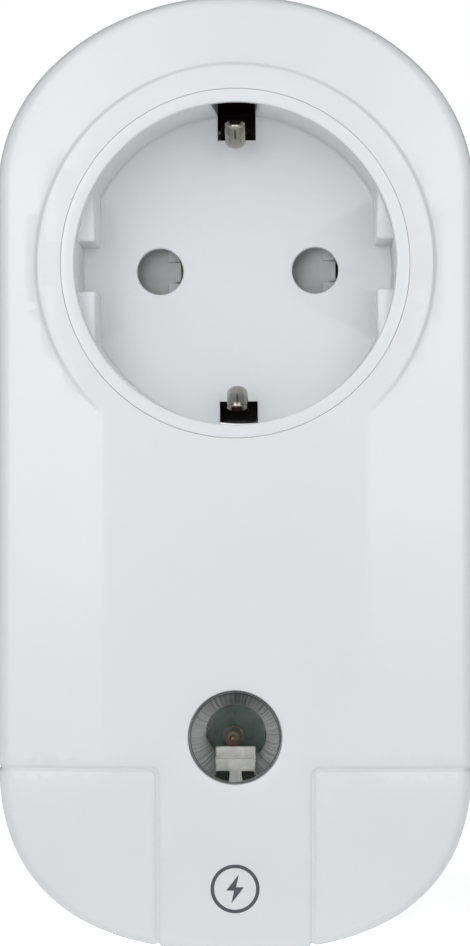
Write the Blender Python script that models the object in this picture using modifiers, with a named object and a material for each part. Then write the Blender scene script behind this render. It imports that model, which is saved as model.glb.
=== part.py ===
"""Plug-in power meter: a socket adapter with a plug on its back and a lit push button.

Millimetres are used throughout and become metres when a mesh is made.
X runs to the right, the front faces -Y and Z is up. The socket and the plug share the
Y axis, and the origin is the centre of the plug's end face.
"""
import bpy
import bmesh
from math import acos, cos, copysign, pi, radians, sin, sqrt
from mathutils import Matrix, Vector

MM = 0.001

# Housing
HALF_WIDTH = 28.5
TOP_Z = 32.2
BOTTOM_Z = -81.8
TOP_HEIGHT = 23.0
BOTTOM_HEIGHT = 24.0
BOTTOM_POWER = 2.5
BACK_Y = -17.0
FRONT_Y = -54.0
SPLIT_Y = -33.0
WALL = 2.1
FRONT_WALL = 2.0
EDGE_RADIUS = 1.6
SLOPE_WIDTH = 12.8
SLOPE_DROP = 1.1
DRAFT = 0.4
LIP_DEPTH = 1.6
GAP = 0.3
OUTLINE_STEPS = 24
ROUND_STEPS = 64

# Socket
RIM_RADIUS = 20.5
RIM_GAP = 0.15
RECESS_RADIUS = 19.05
RECESS_FLOOR_Y = -36.5
FLOOR_THICKNESS = 2.0
GUIDE_X = 16.75
GUIDE_DROP = 4.0
SLOT_HALF_WIDTH = 2.95
SLOT_X = 18.3
PIN_X = 9.5
PIN_HOLE_RADIUS = 2.83
WINDOW_HALF_WIDTH = 2.33
WINDOW_Z = 16.0
WINDOW_TOP_Y = -52.2
COLLAR_RADIUS = 22.4
COLLAR_END_Y = -40.0
PLATEAU_RADIUS = 23.6

# Shutter
SHUTTER_FRONT_Y = RECESS_FLOOR_Y + FLOOR_THICKNESS + GAP
SHUTTER_BACK_Y = -32.2
SHUTTER_END_X = 12.9
CHAMBER_RADIUS = 19.4
RIDGE_X = (1.85, 2.5)
SPRING_Z = 7.0
SPRING_END_X = 4.0
SPRING_START_X = -7.9

# Contact carrier
CARRIER_RADIUS = 20.2
CARRIER_FRONT_Y = SHUTTER_BACK_Y + GAP
CARRIER_BACK_Y = -30.3
CHAMBER_BACK_Y = -22.2

# Earth clips
CLIP_HALF_WIDTH = 1.25
CLIP_THICKNESS = 0.6
CLIP_PIVOT_Y = -30.7
CLIP_PIVOT_Z = 17.3

# Plug
PLUG_RADIUS = 18.5
PLUG_FLAT_X = 16.2
PLUG_RIB_HALF_WIDTH = 2.5
PLUG_GROOVE_Z = 16.1
PLUG_GROOVE_HALF_WIDTH = 3.0
PLUG_FACE_THICKNESS = 2.5
PLUG_INNER_RADIUS = 15.2
PLUG_FLANGE_RADIUS = 21.5
PLUG_GAP = 0.25
PIN_RADIUS = 2.4
PIN_LENGTH = 19.0

# Button
BUTTON_Z = -56.0
BUTTON_HOLE_RADIUS = 5.54
CAP_RADIUS = 5.26
CAP_FRONT_Y = -54.4
CAP_FLANGE_RADIUS = 6.6
SWITCH_Z = -66.5

# Board
BOARD_FRONT_Y = -42.0
BOARD_THICKNESS = 1.6
BOARD_BACK_Y = BOARD_FRONT_Y + BOARD_THICKNESS
BOARD_TOP_Z = -24.0

WIRE_RADIUS = 1.1

# Fasteners
HOUSING_SCREWS = ((19.8, 17.2), (-19.8, 17.2), (20.0, -67.5), (-20.0, -67.5))
BOARD_SCREWS = ((18.5, -31.0), (-18.5, -31.0))
POST_RADIUS = 2.9
POST_END_Y = -35.0
SCREW_SHOULDER_Y = -25.0

COLLECTION = "plug_in_power_meter"


# Scene and object helpers

def clear_scene():
    for obj in list(bpy.data.objects):
        bpy.data.objects.remove(obj, do_unlink=True)


def collection(name):
    group = bpy.data.collections.new(name)
    bpy.context.scene.collection.children.link(group)
    return group


def make_material(name, colour, roughness, metallic=0.0, transmission=0.0):
    made = bpy.data.materials.new(name)
    made.use_nodes = True
    shader = made.node_tree.nodes["Principled BSDF"]
    shader.inputs["Base Color"].default_value = (*colour, 1.0)
    shader.inputs["Roughness"].default_value = roughness
    shader.inputs["Metallic"].default_value = metallic
    shader.inputs["Transmission Weight"].default_value = transmission
    made.diffuse_color = (*colour, 1.0)
    return made


def finish_mesh(name, bm, origin):
    """Turn a closed bmesh in millimetres into a mesh in metres around origin."""
    bmesh.ops.recalc_face_normals(bm, faces=bm.faces[:])
    bmesh.ops.translate(bm, verts=bm.verts[:], vec=-Vector(origin))
    bmesh.ops.scale(bm, verts=bm.verts[:], vec=(MM, MM, MM))
    mesh = bpy.data.meshes.new(name)
    bm.to_mesh(mesh)
    bm.free()
    mesh.shade_smooth()
    mesh.set_sharp_from_angle(angle=radians(32))
    return mesh


def place(name, mesh, origin, finish):
    obj = bpy.data.objects.new(name, mesh)
    obj.location = Vector(origin) * MM
    if not mesh.materials:
        mesh.materials.append(finish)
    PARTS.objects.link(obj)
    return obj


def add_part(name, bm, finish, origin=(0.0, 0.0, 0.0)):
    return place(name, finish_mesh(name, bm, origin), origin, finish)


def operate(obj, operation, label, bm):
    """Add a Boolean to obj whose operand is bm, kept as a hidden guide."""
    tool = bpy.data.objects.new(f"{obj.name}_{label}", finish_mesh(label, bm, (0, 0, 0)))
    tool.hide_render = True
    tool.display_type = "WIRE"
    CUTTERS.objects.link(tool)
    modifier = obj.modifiers.new(label, "BOOLEAN")
    modifier.operation = operation
    modifier.solver = "EXACT"
    modifier.object = tool


def cut(obj, label, bm):
    operate(obj, "DIFFERENCE", label, bm)


def join(obj, label, bm):
    operate(obj, "UNION", label, bm)


def bevel(obj, width, segments=2):
    modifier = obj.modifiers.new("edge_round", "BEVEL")
    modifier.width = width * MM
    modifier.segments = segments
    modifier.limit_method = "ANGLE"
    modifier.angle_limit = radians(40)


# Shape helpers: each adds a closed shape to a bmesh

def new_shape():
    return bmesh.new()


def box(bm, x, y, z):
    """x, y and z are (low, high) pairs."""
    centre = Vector(((x[0] + x[1]) / 2, (y[0] + y[1]) / 2, (z[0] + z[1]) / 2))
    size = Vector((abs(x[1] - x[0]), abs(y[1] - y[0]), abs(z[1] - z[0]), 1.0))
    bmesh.ops.create_cube(bm, size=1.0, matrix=Matrix.Translation(centre) @ Matrix.Diagonal(size))
    return bm


def rod(bm, radius, y0, y1, x=0.0, z=0.0, segments=32):
    """A cylinder along Y from y0 to y1."""
    matrix = Matrix.Translation((x, (y0 + y1) / 2, z)) @ Matrix.Rotation(radians(-90), 4, "X")
    bmesh.ops.create_cone(
        bm,
        cap_ends=True,
        segments=segments,
        radius1=radius,
        radius2=radius,
        depth=y1 - y0,
        matrix=matrix,
    )
    return bm


def upright_rod(radius, height, centre, segments):
    """A cylinder along Z."""
    bm = new_shape()
    bmesh.ops.create_cone(
        bm,
        cap_ends=True,
        segments=segments,
        radius1=radius,
        radius2=radius,
        depth=height,
        matrix=Matrix.Translation(centre),
    )
    return bm


def extrude(bm, corners, along):
    """Sweep the flat face through corners by the vector along."""
    face = bm.faces.new([bm.verts.new(corner) for corner in corners])
    made = bmesh.ops.extrude_face_region(bm, geom=[face])
    moved = [item for item in made["geom"] if isinstance(item, bmesh.types.BMVert)]
    bmesh.ops.translate(bm, verts=moved, vec=along)
    return bm


def prism_y(bm, points, y0, y1):
    """A prism along Y over an (x, z) outline."""
    return extrude(bm, [(x, y0, z) for x, z in points], (0, y1 - y0, 0))


def prism_x(bm, points, x0, x1):
    """A prism along X over a (y, z) outline."""
    return extrude(bm, [(x0, y, z) for y, z in points], (x1 - x0, 0, 0))


def prism_z(bm, points, z0, z1):
    """A prism along Z over an (x, y) outline."""
    return extrude(bm, [(x, y, z0) for x, y in points], (0, 0, z1 - z0))


def arc(radius, start, end, steps):
    """Points of an arc about the Y axis; angles in degrees from +X towards +Z."""
    angles = [radians(start + (end - start) * i / steps) for i in range(steps + 1)]
    return [(radius * cos(a), radius * sin(a)) for a in angles]


def turned(name, profile, finish, centre, segments=48):
    """A profile of (radius, height) points turned about an axis along +Y through centre."""
    bm = bmesh.new()
    verts = [bm.verts.new((r * MM, 0, h * MM)) for r, h in profile]
    for first, second in zip(verts, verts[1:]):
        bm.edges.new((first, second))
    mesh = bpy.data.meshes.new(name)
    if profile[0][0] > 0:
        bm.edges.new((verts[-1], verts[0]))
    bm.to_mesh(mesh)
    bm.free()
    obj = place(name, mesh, centre, finish)
    obj.rotation_euler = (radians(-90), 0, 0)
    screw = obj.modifiers.new("turn", "SCREW")
    screw.steps = segments
    screw.render_steps = segments
    screw.use_merge_vertices = True
    screw.merge_threshold = 0.00001
    screw.use_smooth_shade = True
    return obj


def ribbon(path, thickness):
    """The closed outline of a strip of even thickness centred on path."""
    left, right = [], []
    for i, (a, b) in enumerate(path):
        before, after = path[max(i - 1, 0)], path[min(i + 1, len(path) - 1)]
        along = Vector((after[0] - before[0], after[1] - before[1])).normalized()
        side = Vector((-along.y, along.x)) * thickness / 2
        left.append((a + side.x, b + side.y))
        right.append((a - side.x, b - side.y))
    return left + right[::-1]


def spline(points, steps):
    """A smooth path through points, by the Catmull-Rom rule."""
    padded = [points[0]] + list(points) + [points[-1]]
    path = []
    for p0, p1, p2, p3 in zip(padded, padded[1:], padded[2:], padded[3:]):
        for i in range(steps):
            t = i / steps
            path.append(tuple(
                0.5 * (2 * b + (c - a) * t + (2 * a - 5 * b + 4 * c - d) * t * t
                       + (3 * b - a - 3 * c + d) * t ** 3)
                for a, b, c, d in zip(p0, p1, p2, p3)
            ))
    return path + [tuple(points[-1])]


def wire(name, points, radius, finish, steps=3):
    """A round wire along a smooth route through points."""
    curve = bpy.data.curves.new(name, "CURVE")
    curve.dimensions = "3D"
    curve.bevel_depth = radius * MM
    curve.bevel_resolution = 2
    curve.use_fill_caps = True
    route = spline(points, steps)
    line = curve.splines.new("POLY")
    line.points.add(len(route) - 1)
    for point, place_mm in zip(line.points, route):
        point.co = (*(Vector(place_mm) * MM), 1.0)
    curve.materials.append(finish)
    obj = bpy.data.objects.new(name, curve)
    PARTS.objects.link(obj)
    return obj


# Housing shells

def outline(inset):
    """Points (x, z) of the housing's outline, moved inward by inset."""
    top_centre = TOP_Z - TOP_HEIGHT
    bottom_centre = BOTTOM_Z + BOTTOM_HEIGHT
    points = []
    halves = (
        (top_centre, TOP_HEIGHT, 2.0, 0.0),
        (bottom_centre, BOTTOM_HEIGHT, BOTTOM_POWER, pi),
    )
    for centre, height, power, start in halves:
        for i in range(OUTLINE_STEPS + 1):
            angle = start + pi * i / OUTLINE_STEPS
            c = copysign(abs(cos(angle)) ** (2 / power), cos(angle))
            if i in (0, OUTLINE_STEPS):
                c = round(cos(angle))
            s = copysign(abs(sin(angle)) ** (2 / power), sin(angle)) if 0 < i < OUTLINE_STEPS else 0.0
            slope = Vector((
                copysign(abs(c) ** (power - 1), c) / HALF_WIDTH,
                copysign(abs(s) ** (power - 1), s) / height,
            )).normalized()
            points.append((HALF_WIDTH * c - slope.x * inset, centre + height * s - slope.y * inset))
    return points


def loft(rings):
    """A closed shell through rings of (inset, y), capped at its first and last ring."""
    bm = bmesh.new()
    loops = [[bm.verts.new((x, y, z)) for x, z in outline(inset)] for inset, y in rings]
    for lower, upper in zip(loops, loops[1:]):
        count = len(lower)
        for i in range(count):
            j = (i + 1) % count
            bm.faces.new((lower[i], lower[j], upper[j], upper[i]))
    bm.faces.new(loops[0])
    bm.faces.new(loops[-1])
    return bm


def fillet(inset, y, radius, direction, start, end, steps):
    """Rings round an outer edge, from start to end degrees; 0 faces outward, 90 faces direction."""
    rings = []
    for i in range(steps + 1):
        a = radians(start + (end - start) * i / steps)
        rings.append((inset + radius * (1 - cos(a)), y + direction * radius * sin(a)))
    return rings


def front_housing(finish):
    shoulder_y = FRONT_Y + SLOPE_DROP + EDGE_RADIUS
    rings = [
        (SLOPE_WIDTH + 0.4, FRONT_Y + FRONT_WALL),
        (WALL + DRAFT + 1.0, FRONT_Y + SLOPE_DROP + FRONT_WALL - 0.1),
        (WALL + DRAFT, FRONT_Y + SLOPE_DROP + FRONT_WALL + 0.9),
        (WALL, SPLIT_Y - GAP / 2),
        (0.0, SPLIT_Y - GAP / 2),
        (0.0, FRONT_Y + 11.0),
    ]
    rings += fillet(DRAFT, shoulder_y, EDGE_RADIUS, -1, 0, 84, 4)
    rings += [(SLOPE_WIDTH, FRONT_Y)]
    obj = add_part("front_housing", loft(rings), finish)

    join(obj, "plateau", rod(new_shape(), PLATEAU_RADIUS, FRONT_Y, FRONT_Y + 2.6, segments=ROUND_STEPS))
    posts = new_shape()
    for x, z in HOUSING_SCREWS:
        rod(posts, POST_RADIUS, FRONT_Y + 1.2, POST_END_Y, x, z, 20)
    for x, z in BOARD_SCREWS:
        rod(posts, POST_RADIUS, FRONT_Y + 1.4, BOARD_FRONT_Y - GAP, x, z, 20)
    join(obj, "posts", posts)
    join(obj, "collar", rod(new_shape(), COLLAR_RADIUS, FRONT_Y + 0.5, COLLAR_END_Y, segments=ROUND_STEPS))
    join(obj, "rest", rod(new_shape(), 1.6, FRONT_Y + 1.2, BOARD_FRONT_Y - GAP, 8.0, -74.0, 16))

    socket_hole = rod(new_shape(), RIM_RADIUS + RIM_GAP, FRONT_Y - 2, COLLAR_END_Y + 1, segments=ROUND_STEPS)
    cut(obj, "socket_hole", socket_hole)
    holes = new_shape()
    for x, z in HOUSING_SCREWS:
        rod(holes, 1.6, FRONT_Y + 5.0, POST_END_Y + 1, x, z, 16)
    for x, z in BOARD_SCREWS:
        rod(holes, 1.3, FRONT_Y + 5.0, BOARD_FRONT_Y + 1, x, z, 16)
    rod(holes, BUTTON_HOLE_RADIUS, FRONT_Y - 1, FRONT_Y + 4, 0, BUTTON_Z, 48)
    cut(obj, "holes", holes)
    side = new_shape()
    for sign in (-1, 1):
        box(side, (-3.6, 3.6), (FRONT_Y + 2.6, COLLAR_END_Y + 1), (sign * 18.0, sign * 24.0))
    cut(obj, "clip_windows", side)
    return obj


def rear_housing(finish):
    rings = [
        (WALL + 2.6, BACK_Y - FRONT_WALL),
        (WALL, BACK_Y - FRONT_WALL - 1.8),
        (WALL, SPLIT_Y + 2.4),
        (WALL + GAP + 1.0, SPLIT_Y + 1.6),
        (WALL + GAP + 1.0, SPLIT_Y - LIP_DEPTH),
        (WALL + GAP, SPLIT_Y - LIP_DEPTH),
        (WALL + GAP, SPLIT_Y + GAP / 2),
        (0.0, SPLIT_Y + GAP / 2),
    ]
    rings += fillet(0.0, BACK_Y - 2.4, 2.4, 1, 0, 90, 4)
    obj = add_part("rear_housing", loft(rings), finish)
    posts = new_shape()
    wells = new_shape()
    for x, z in HOUSING_SCREWS:
        rod(posts, POST_RADIUS, POST_END_Y + GAP, BACK_Y - 1.6, x, z, 20)
        rod(wells, 3.9, SCREW_SHOULDER_Y - 1.5, BACK_Y - 1.2, x, z, 20)
    join(obj, "posts", posts)
    join(obj, "well_walls", wells)
    plug_hole = rod(new_shape(), PLUG_RADIUS + PLUG_GAP, BACK_Y - 6, BACK_Y + 2, segments=ROUND_STEPS)
    cut(obj, "plug_hole", plug_hole)
    holes = new_shape()
    for x, z in HOUSING_SCREWS:
        rod(holes, 1.6, POST_END_Y - 1, SCREW_SHOULDER_Y + 1, x, z, 16)
    cut(obj, "screw_holes", holes)
    heads = new_shape()
    for x, z in HOUSING_SCREWS:
        rod(heads, 2.9, SCREW_SHOULDER_Y, BACK_Y + 2, x, z, 24)
    cut(obj, "screw_wells", heads)
    return obj


# Socket

def recess_outline():
    """The recess below the guides' tops: round, flat at both sides, with a slot in each flat."""
    corner = sqrt(RECESS_RADIUS ** 2 - GUIDE_X ** 2)
    half_angle = acos(GUIDE_X / RECESS_RADIUS) * 180 / pi
    points = [
        (SLOT_X, -SLOT_HALF_WIDTH), (SLOT_X, SLOT_HALF_WIDTH), (GUIDE_X, SLOT_HALF_WIDTH), (GUIDE_X, corner),
    ]
    points += arc(RECESS_RADIUS, half_angle, 180 - half_angle, 36)[1:-1]
    points += [(-x, z) for x, z in points[:4][::-1]]
    points += arc(RECESS_RADIUS, 180 + half_angle, 360 - half_angle, 36)[1:-1]
    points += [(GUIDE_X, -corner), (GUIDE_X, -SLOT_HALF_WIDTH)]
    return points


def socket_insert(finish):
    back_y = RECESS_FLOOR_Y + FLOOR_THICKNESS
    bm = rod(new_shape(), RIM_RADIUS, FRONT_Y, back_y, segments=ROUND_STEPS)
    obj = add_part("socket_insert", bm, finish)
    flange_y = COLLAR_END_Y + GAP
    join(obj, "flange", rod(new_shape(), COLLAR_RADIUS, flange_y, flange_y + 1.8, segments=ROUND_STEPS))
    mouth = rod(new_shape(), RECESS_RADIUS, FRONT_Y - 2, FRONT_Y + GUIDE_DROP, segments=ROUND_STEPS)
    cut(obj, "mouth", mouth)
    cut(obj, "recess", prism_y(new_shape(), recess_outline(), FRONT_Y + GUIDE_DROP - 1, RECESS_FLOOR_Y))
    holes = new_shape()
    for sign in (-1, 1):
        rod(holes, PIN_HOLE_RADIUS, RECESS_FLOOR_Y - 1, back_y + 1, sign * PIN_X, 0, 40)
        box(
            holes,
            (-WINDOW_HALF_WIDTH, WINDOW_HALF_WIDTH),
            (WINDOW_TOP_Y, back_y + 1),
            (sign * WINDOW_Z, sign * (COLLAR_RADIUS + 1)),
        )
    cut(obj, "holes", holes)
    return obj


def shutter(finish):
    """A plate with a ramp behind each pin hole; a plug's pins push it towards +X."""
    plate_y = (SHUTTER_FRONT_Y + 0.6, SHUTTER_BACK_Y)
    bm = box(new_shape(), (-12.7, SHUTTER_END_X), plate_y, (-3.9, 3.9))
    obj = add_part("shutter", bm, finish, (0, SHUTTER_BACK_Y, 0))
    join(obj, "wing", box(new_shape(), (-9.4, 7.8), plate_y, (3.5, 9.0)))
    blocks = new_shape()
    slopes = new_shape()
    gaps = new_shape()
    for x in (-PIN_X, PIN_X):
        box(blocks, (x - 3.0, x + RIDGE_X[1]), (SHUTTER_FRONT_Y, SHUTTER_BACK_Y - 0.4), (-3.2, 3.2))
        foot = (x - 3.4, SHUTTER_FRONT_Y + 1.5)
        ridge = (x + RIDGE_X[0], SHUTTER_FRONT_Y)
        above = SHUTTER_FRONT_Y - 1
        prism_z(slopes, [foot, (foot[0], above), (ridge[0], above), ridge], -2.9, 2.9)
        box(gaps, (x + RIDGE_X[1], x + PIN_HOLE_RADIUS), (above, SHUTTER_BACK_Y + 1), (-2.0, 2.0))
    join(obj, "ramp_blocks", blocks)
    cut(obj, "ramp_slopes", slopes)
    cut(obj, "gaps", gaps)
    openings = box(new_shape(), (0.9, 6.2), (-36, -31), (-3.1, 3.1))
    box(openings, (SPRING_START_X - 0.2, 6.5), (-36, -31), (SPRING_Z - 1.25, SPRING_Z + 1.25))
    cut(obj, "openings", openings)
    return obj


def shutter_spring(finish):
    centre_y = (SHUTTER_FRONT_Y + 0.6 + SHUTTER_BACK_Y) / 2
    turns, steps, coil = 8, 8, 0.78
    curve = bpy.data.curves.new("shutter_spring", "CURVE")
    curve.dimensions = "3D"
    curve.bevel_depth = 0.2 * MM
    curve.bevel_resolution = 1
    curve.use_fill_caps = True
    line = curve.splines.new("POLY")
    line.points.add(turns * steps)
    length = SPRING_END_X - SPRING_START_X - 0.9
    for i, point in enumerate(line.points):
        angle = 2 * pi * i / steps
        x = SPRING_START_X + 0.4 + length * i / (turns * steps)
        place_mm = Vector((x, centre_y + coil * cos(angle), SPRING_Z + coil * sin(angle)))
        point.co = (*(place_mm * MM), 1.0)
    curve.materials.append(finish)
    obj = bpy.data.objects.new("shutter_spring", curve)
    PARTS.objects.link(obj)
    return obj


def contact_carrier(finish):
    bm = rod(new_shape(), CARRIER_RADIUS, SHUTTER_FRONT_Y, CARRIER_BACK_Y, segments=ROUND_STEPS)
    obj = add_part("contact_carrier", bm, finish)
    chambers = new_shape()
    for sign in (-1, 1):
        box(chambers, (sign * 4.0, sign * 15.0), (CARRIER_BACK_Y - 0.5, CHAMBER_BACK_Y), (-5.6, 5.6))
    join(obj, "chambers", chambers)
    well = rod(new_shape(), CHAMBER_RADIUS, SHUTTER_FRONT_Y - 1, CARRIER_FRONT_Y, segments=ROUND_STEPS)
    cut(obj, "well", well)
    peg_x = (SPRING_END_X, SPRING_END_X + 1.4)
    peg_y = (SHUTTER_FRONT_Y + 0.5, CARRIER_BACK_Y - 0.5)
    peg = box(new_shape(), peg_x, peg_y, (SPRING_Z - 0.9, SPRING_Z + 0.9))
    join(obj, "spring_peg", peg)
    pockets = new_shape()
    tail_slots = new_shape()
    for sign in (-1, 1):
        box(pockets, (sign * 5.2, sign * 13.8), (CARRIER_BACK_Y, CHAMBER_BACK_Y + 1), (-4.4, 4.4))
        box(tail_slots, (sign * 7.4, sign * 11.6), (CARRIER_BACK_Y + 1.5, CHAMBER_BACK_Y + 1), (-7.0, -4.0))
    cut(obj, "pockets", pockets)
    cut(obj, "tail_slots", tail_slots)
    holes = new_shape()
    for sign in (-1, 1):
        rod(holes, 3.1, SHUTTER_FRONT_Y - 1, CARRIER_BACK_Y + 0.5, sign * PIN_X, 0, 32)
        box(holes, (-2.6, 2.6), (SHUTTER_FRONT_Y - 1, CARRIER_BACK_Y + 1), (sign * 15.2, sign * 21.0))
    cut(obj, "holes", holes)
    return obj


def contact(name, sign, finish):
    """A sprung sleeve around a pin, slit along one side, with a tail that takes a wire."""
    x = sign * PIN_X
    outer = [(x + px * sign, z) for px, z in arc(3.3, 25, 335, 24)]
    inner = [(x + px * sign, z) for px, z in arc(2.6, 335, 25, 24)]
    bm = prism_y(new_shape(), outer + inner, CARRIER_BACK_Y + GAP, CHAMBER_BACK_Y - 0.8)
    obj = add_part(name, bm, finish, (x, CARRIER_BACK_Y, 0))
    join(obj, "tail", box(new_shape(), (x - 1.6, x + 1.6), (-26.4, -25.6), (-8.2, -2.95)))
    return obj


# Earth path

def clip_path(sign):
    """Centre line (y, z) of an earth clip, from its foot to its free end."""
    points = [
        (-30.45, 17.3), (-36.0, 16.9), (-39.5, 16.2), (-42.5, 15.1), (-45.0, 14.5), (-47.4, 15.3),
        (-50.0, 17.6),
    ]
    return [(y, sign * z) for y, z in spline(points, 4)]


def earth_clip(name, sign, finish):
    bm = prism_x(new_shape(), ribbon(clip_path(sign), CLIP_THICKNESS), -CLIP_HALF_WIDTH, CLIP_HALF_WIDTH)
    return add_part(name, bm, finish, (0, CLIP_PIVOT_Y, sign * CLIP_PIVOT_Z))


def earth_bridge(finish):
    bm = box(new_shape(), (-2.2, 2.2), (CARRIER_BACK_Y + GAP, CARRIER_BACK_Y + GAP + 0.6), (-18.2, 18.2))
    return add_part("earth_bridge", bm, finish)


# Plug

def plug_outline():
    """Round, with a flat and a rib at each side and an earth groove at top and bottom."""
    rib = (PLUG_RADIUS ** 2 - PLUG_RIB_HALF_WIDTH ** 2) ** 0.5
    corner_angle = acos(PLUG_FLAT_X / PLUG_RADIUS) * 180 / pi
    groove_angle = acos(PLUG_GROOVE_HALF_WIDTH / PLUG_RADIUS) * 180 / pi
    quarter = [(rib, 0), (rib, PLUG_RIB_HALF_WIDTH), (PLUG_FLAT_X, PLUG_RIB_HALF_WIDTH)]
    quarter += arc(PLUG_RADIUS, corner_angle, groove_angle, 12)
    quarter += [(PLUG_GROOVE_HALF_WIDTH, PLUG_GROOVE_Z)]
    upper = quarter + [(-x, z) for x, z in quarter[::-1]]
    return upper + [(x, -z) for x, z in upper[::-1] if z > 0]


def plug_base(finish):
    obj = add_part("plug_base", prism_y(new_shape(), plug_outline(), BACK_Y - 1.0, 0.0), finish)
    join(obj, "shoulder", rod(new_shape(), PLUG_RADIUS, BACK_Y - 3.0, BACK_Y, segments=ROUND_STEPS))
    flange_y = (BACK_Y - FRONT_WALL - GAP - 1.8, BACK_Y - FRONT_WALL - GAP)
    join(obj, "flange", rod(new_shape(), PLUG_FLANGE_RADIUS, *flange_y, segments=ROUND_STEPS))
    cut(obj, "hollow", rod(new_shape(), PLUG_INNER_RADIUS, BACK_Y - 10, -PLUG_FACE_THICKNESS, segments=48))
    holes = new_shape()
    for sign in (-1, 1):
        rod(holes, PIN_RADIUS + 0.25, -PLUG_FACE_THICKNESS - 1, 1, sign * PIN_X, 0, 24)
    cut(obj, "pin_holes", holes)
    return obj


def plug_pin(name, sign, finish):
    tip = PIN_LENGTH
    profile = [(0, tip), (1.0, tip), (1.9, tip - 0.5), (PIN_RADIUS, tip - 1.6), (PIN_RADIUS, -3.0)]
    profile += [(3.4, -3.0), (3.4, -4.4), (1.8, -4.4), (1.8, -9.0), (0, -9.0)]
    return turned(name, profile, finish, (sign * PIN_X, 0, 0), 24)


def plug_earth_contact(name, sign, finish):
    points = [(-15.6, 16.8), (-13.0, 17.1), (-8.5, 17.9), (-4.5, 17.4), (-1.6, 16.8)]
    path = [(y, sign * z) for y, z in spline(points, 4)]
    return add_part(name, prism_x(new_shape(), ribbon(path, 0.7), -2.0, 2.0), finish)


# Button

def button_cap(finish):
    """Clear turned cap with a hollow back and a flange that the housing holds."""
    front = CAP_FRONT_Y
    flange_y = FRONT_Y + FRONT_WALL + GAP
    profile = [
        (0, front + 1.7), (4.1, front + 1.9), (4.1, flange_y + 1.0), (CAP_FLANGE_RADIUS, flange_y + 1.0),
        (CAP_FLANGE_RADIUS, flange_y), (CAP_RADIUS, flange_y), (CAP_RADIUS, front + 0.55),
        (CAP_RADIUS - 0.18, front + 0.28), (CAP_RADIUS - 0.6, front + 0.14), (3.0, front + 0.04),
        (0, front),
    ]
    centre = Vector((0, FRONT_Y, BUTTON_Z))
    return turned("button_cap", [(r, h - FRONT_Y) for r, h in profile], finish, centre, 40)


def switch_plunger(finish):
    """T-shaped arm behind the cap that carries its push down to the switch."""
    top_y = FRONT_Y + FRONT_WALL + GAP + 1.0 + GAP
    y = (top_y, top_y + 1.0)
    bm = box(new_shape(), (-2.4, 2.4), y, (-60.4, -57.5))
    obj = add_part("switch_plunger", bm, finish, (0, FRONT_Y, BUTTON_Z))
    join(obj, "stem", box(new_shape(), (-0.75, 0.75), y, (SWITCH_Z - 1.5, -59.0)))
    foot = rod(new_shape(), 1.5, top_y + 0.2, -47.3, 0, SWITCH_Z, 24)
    join(obj, "foot", foot)
    return obj


def tact_switch(finish):
    bm = box(new_shape(), (-3.0, 3.0), (-45.6, BOARD_FRONT_Y - GAP), (SWITCH_Z - 3.0, SWITCH_Z + 3.0))
    obj = add_part("tact_switch", bm, finish)
    cut(obj, "well", rod(new_shape(), 1.95, -47.0, -44.2, 0, SWITCH_Z, 24))
    return obj


def switch_actuator(finish):
    return add_part("switch_actuator", rod(new_shape(), 1.7, -47.0, -45.0, 0, SWITCH_Z, 24), finish,
                    (0, FRONT_Y, BUTTON_Z))


def status_led(finish):
    profile = [(1.3, -42.3), (1.3, -47.6), (1.12, -48.1), (0.65, -48.5), (0, -48.65)]
    points = [(0, -42.3)] + profile
    return turned("status_led", [(r, h + 42.3) for r, h in points], finish, (0, -42.3, BUTTON_Z), 28)


def light_shroud(finish):
    """Ring that stands on the board around the lamp, open below for the switch arm."""
    bm = rod(new_shape(), 4.0, -49.4, BOARD_FRONT_Y - GAP, 0, BUTTON_Z, 40)
    obj = add_part("light_shroud", bm, finish)
    cut(obj, "bore", rod(new_shape(), 3.2, -50.5, BOARD_FRONT_Y + 1, 0, BUTTON_Z, 40))
    cut(obj, "arm_gap", box(new_shape(), (-2.9, 2.9), (-50.5, -48.4), (-62.0, -57.0)))
    return obj


# Board and its components

def main_board(finish):
    low = -77.5
    notch = -62.5
    points = [(22.5, BOARD_TOP_Z), (22.5, notch), (15.5, notch - 1.5), (15.5, low + 3), (12.5, low)]
    points += [(-x, z) for x, z in points[::-1]]
    obj = add_part("main_board", prism_y(new_shape(), points, BOARD_FRONT_Y, BOARD_BACK_Y), finish)
    holes = new_shape()
    for x, z in BOARD_SCREWS:
        rod(holes, 1.6, BOARD_FRONT_Y - 1, BOARD_BACK_Y + 1, x, z, 16)
    cut(obj, "screw_holes", holes)
    return obj


def board_box(name, x, y, z, finish, round_by=0.3):
    obj = add_part(name, box(new_shape(), x, y, z), finish)
    bevel(obj, round_by, 1)
    return obj


def components(finishes):
    back = BOARD_BACK_Y + GAP
    front = BOARD_FRONT_Y - GAP
    board_box("relay", (-20.5, -5.0), (back, back + 15.5), (-54.5, -35.5), finishes["black"], 0.5)
    board_box("film_capacitor", (6.0, 20.5), (back, back + 13.0), (-58.0, -50.5), finishes["ochre"], 0.5)
    capacitor = rod(new_shape(), 5.0, back, back + 14.0, 13.0, -42.5, 32)
    add_part("electrolytic_capacitor", capacitor, finishes["can"])
    add_part("varistor", upright_rod(5.0, 3.6, (-12.0, back + 6.0, -60.0), 32), finishes["blue"])
    add_part("fuse", upright_rod(2.2, 11.0, (0.5, back + 2.4, -46.0), 20), finishes["brown"])
    board_box("metering_chip", (8.5, 12.5), (front - 1.6, front), (-46.0, -36.0), finishes["black"], 0.2)
    shunt_z = (-69.5, -66.5)
    legs = new_shape()
    for leg_x in ((-16.4, -15.6), (-6.4, -5.6)):
        box(legs, leg_x, (back, back + 3.2), shunt_z)
    bridge = box(new_shape(), (-16.4, -5.6), (back + 3.0, back + 3.8), shunt_z)
    join(add_part("shunt_resistor", bridge, finishes["copper"]), "legs", legs)
    board_box("radio_module", (-15.0, 1.0), (front - 3.0, front), (-44.0, -28.0), finishes["shield"], 0.3)


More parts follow.
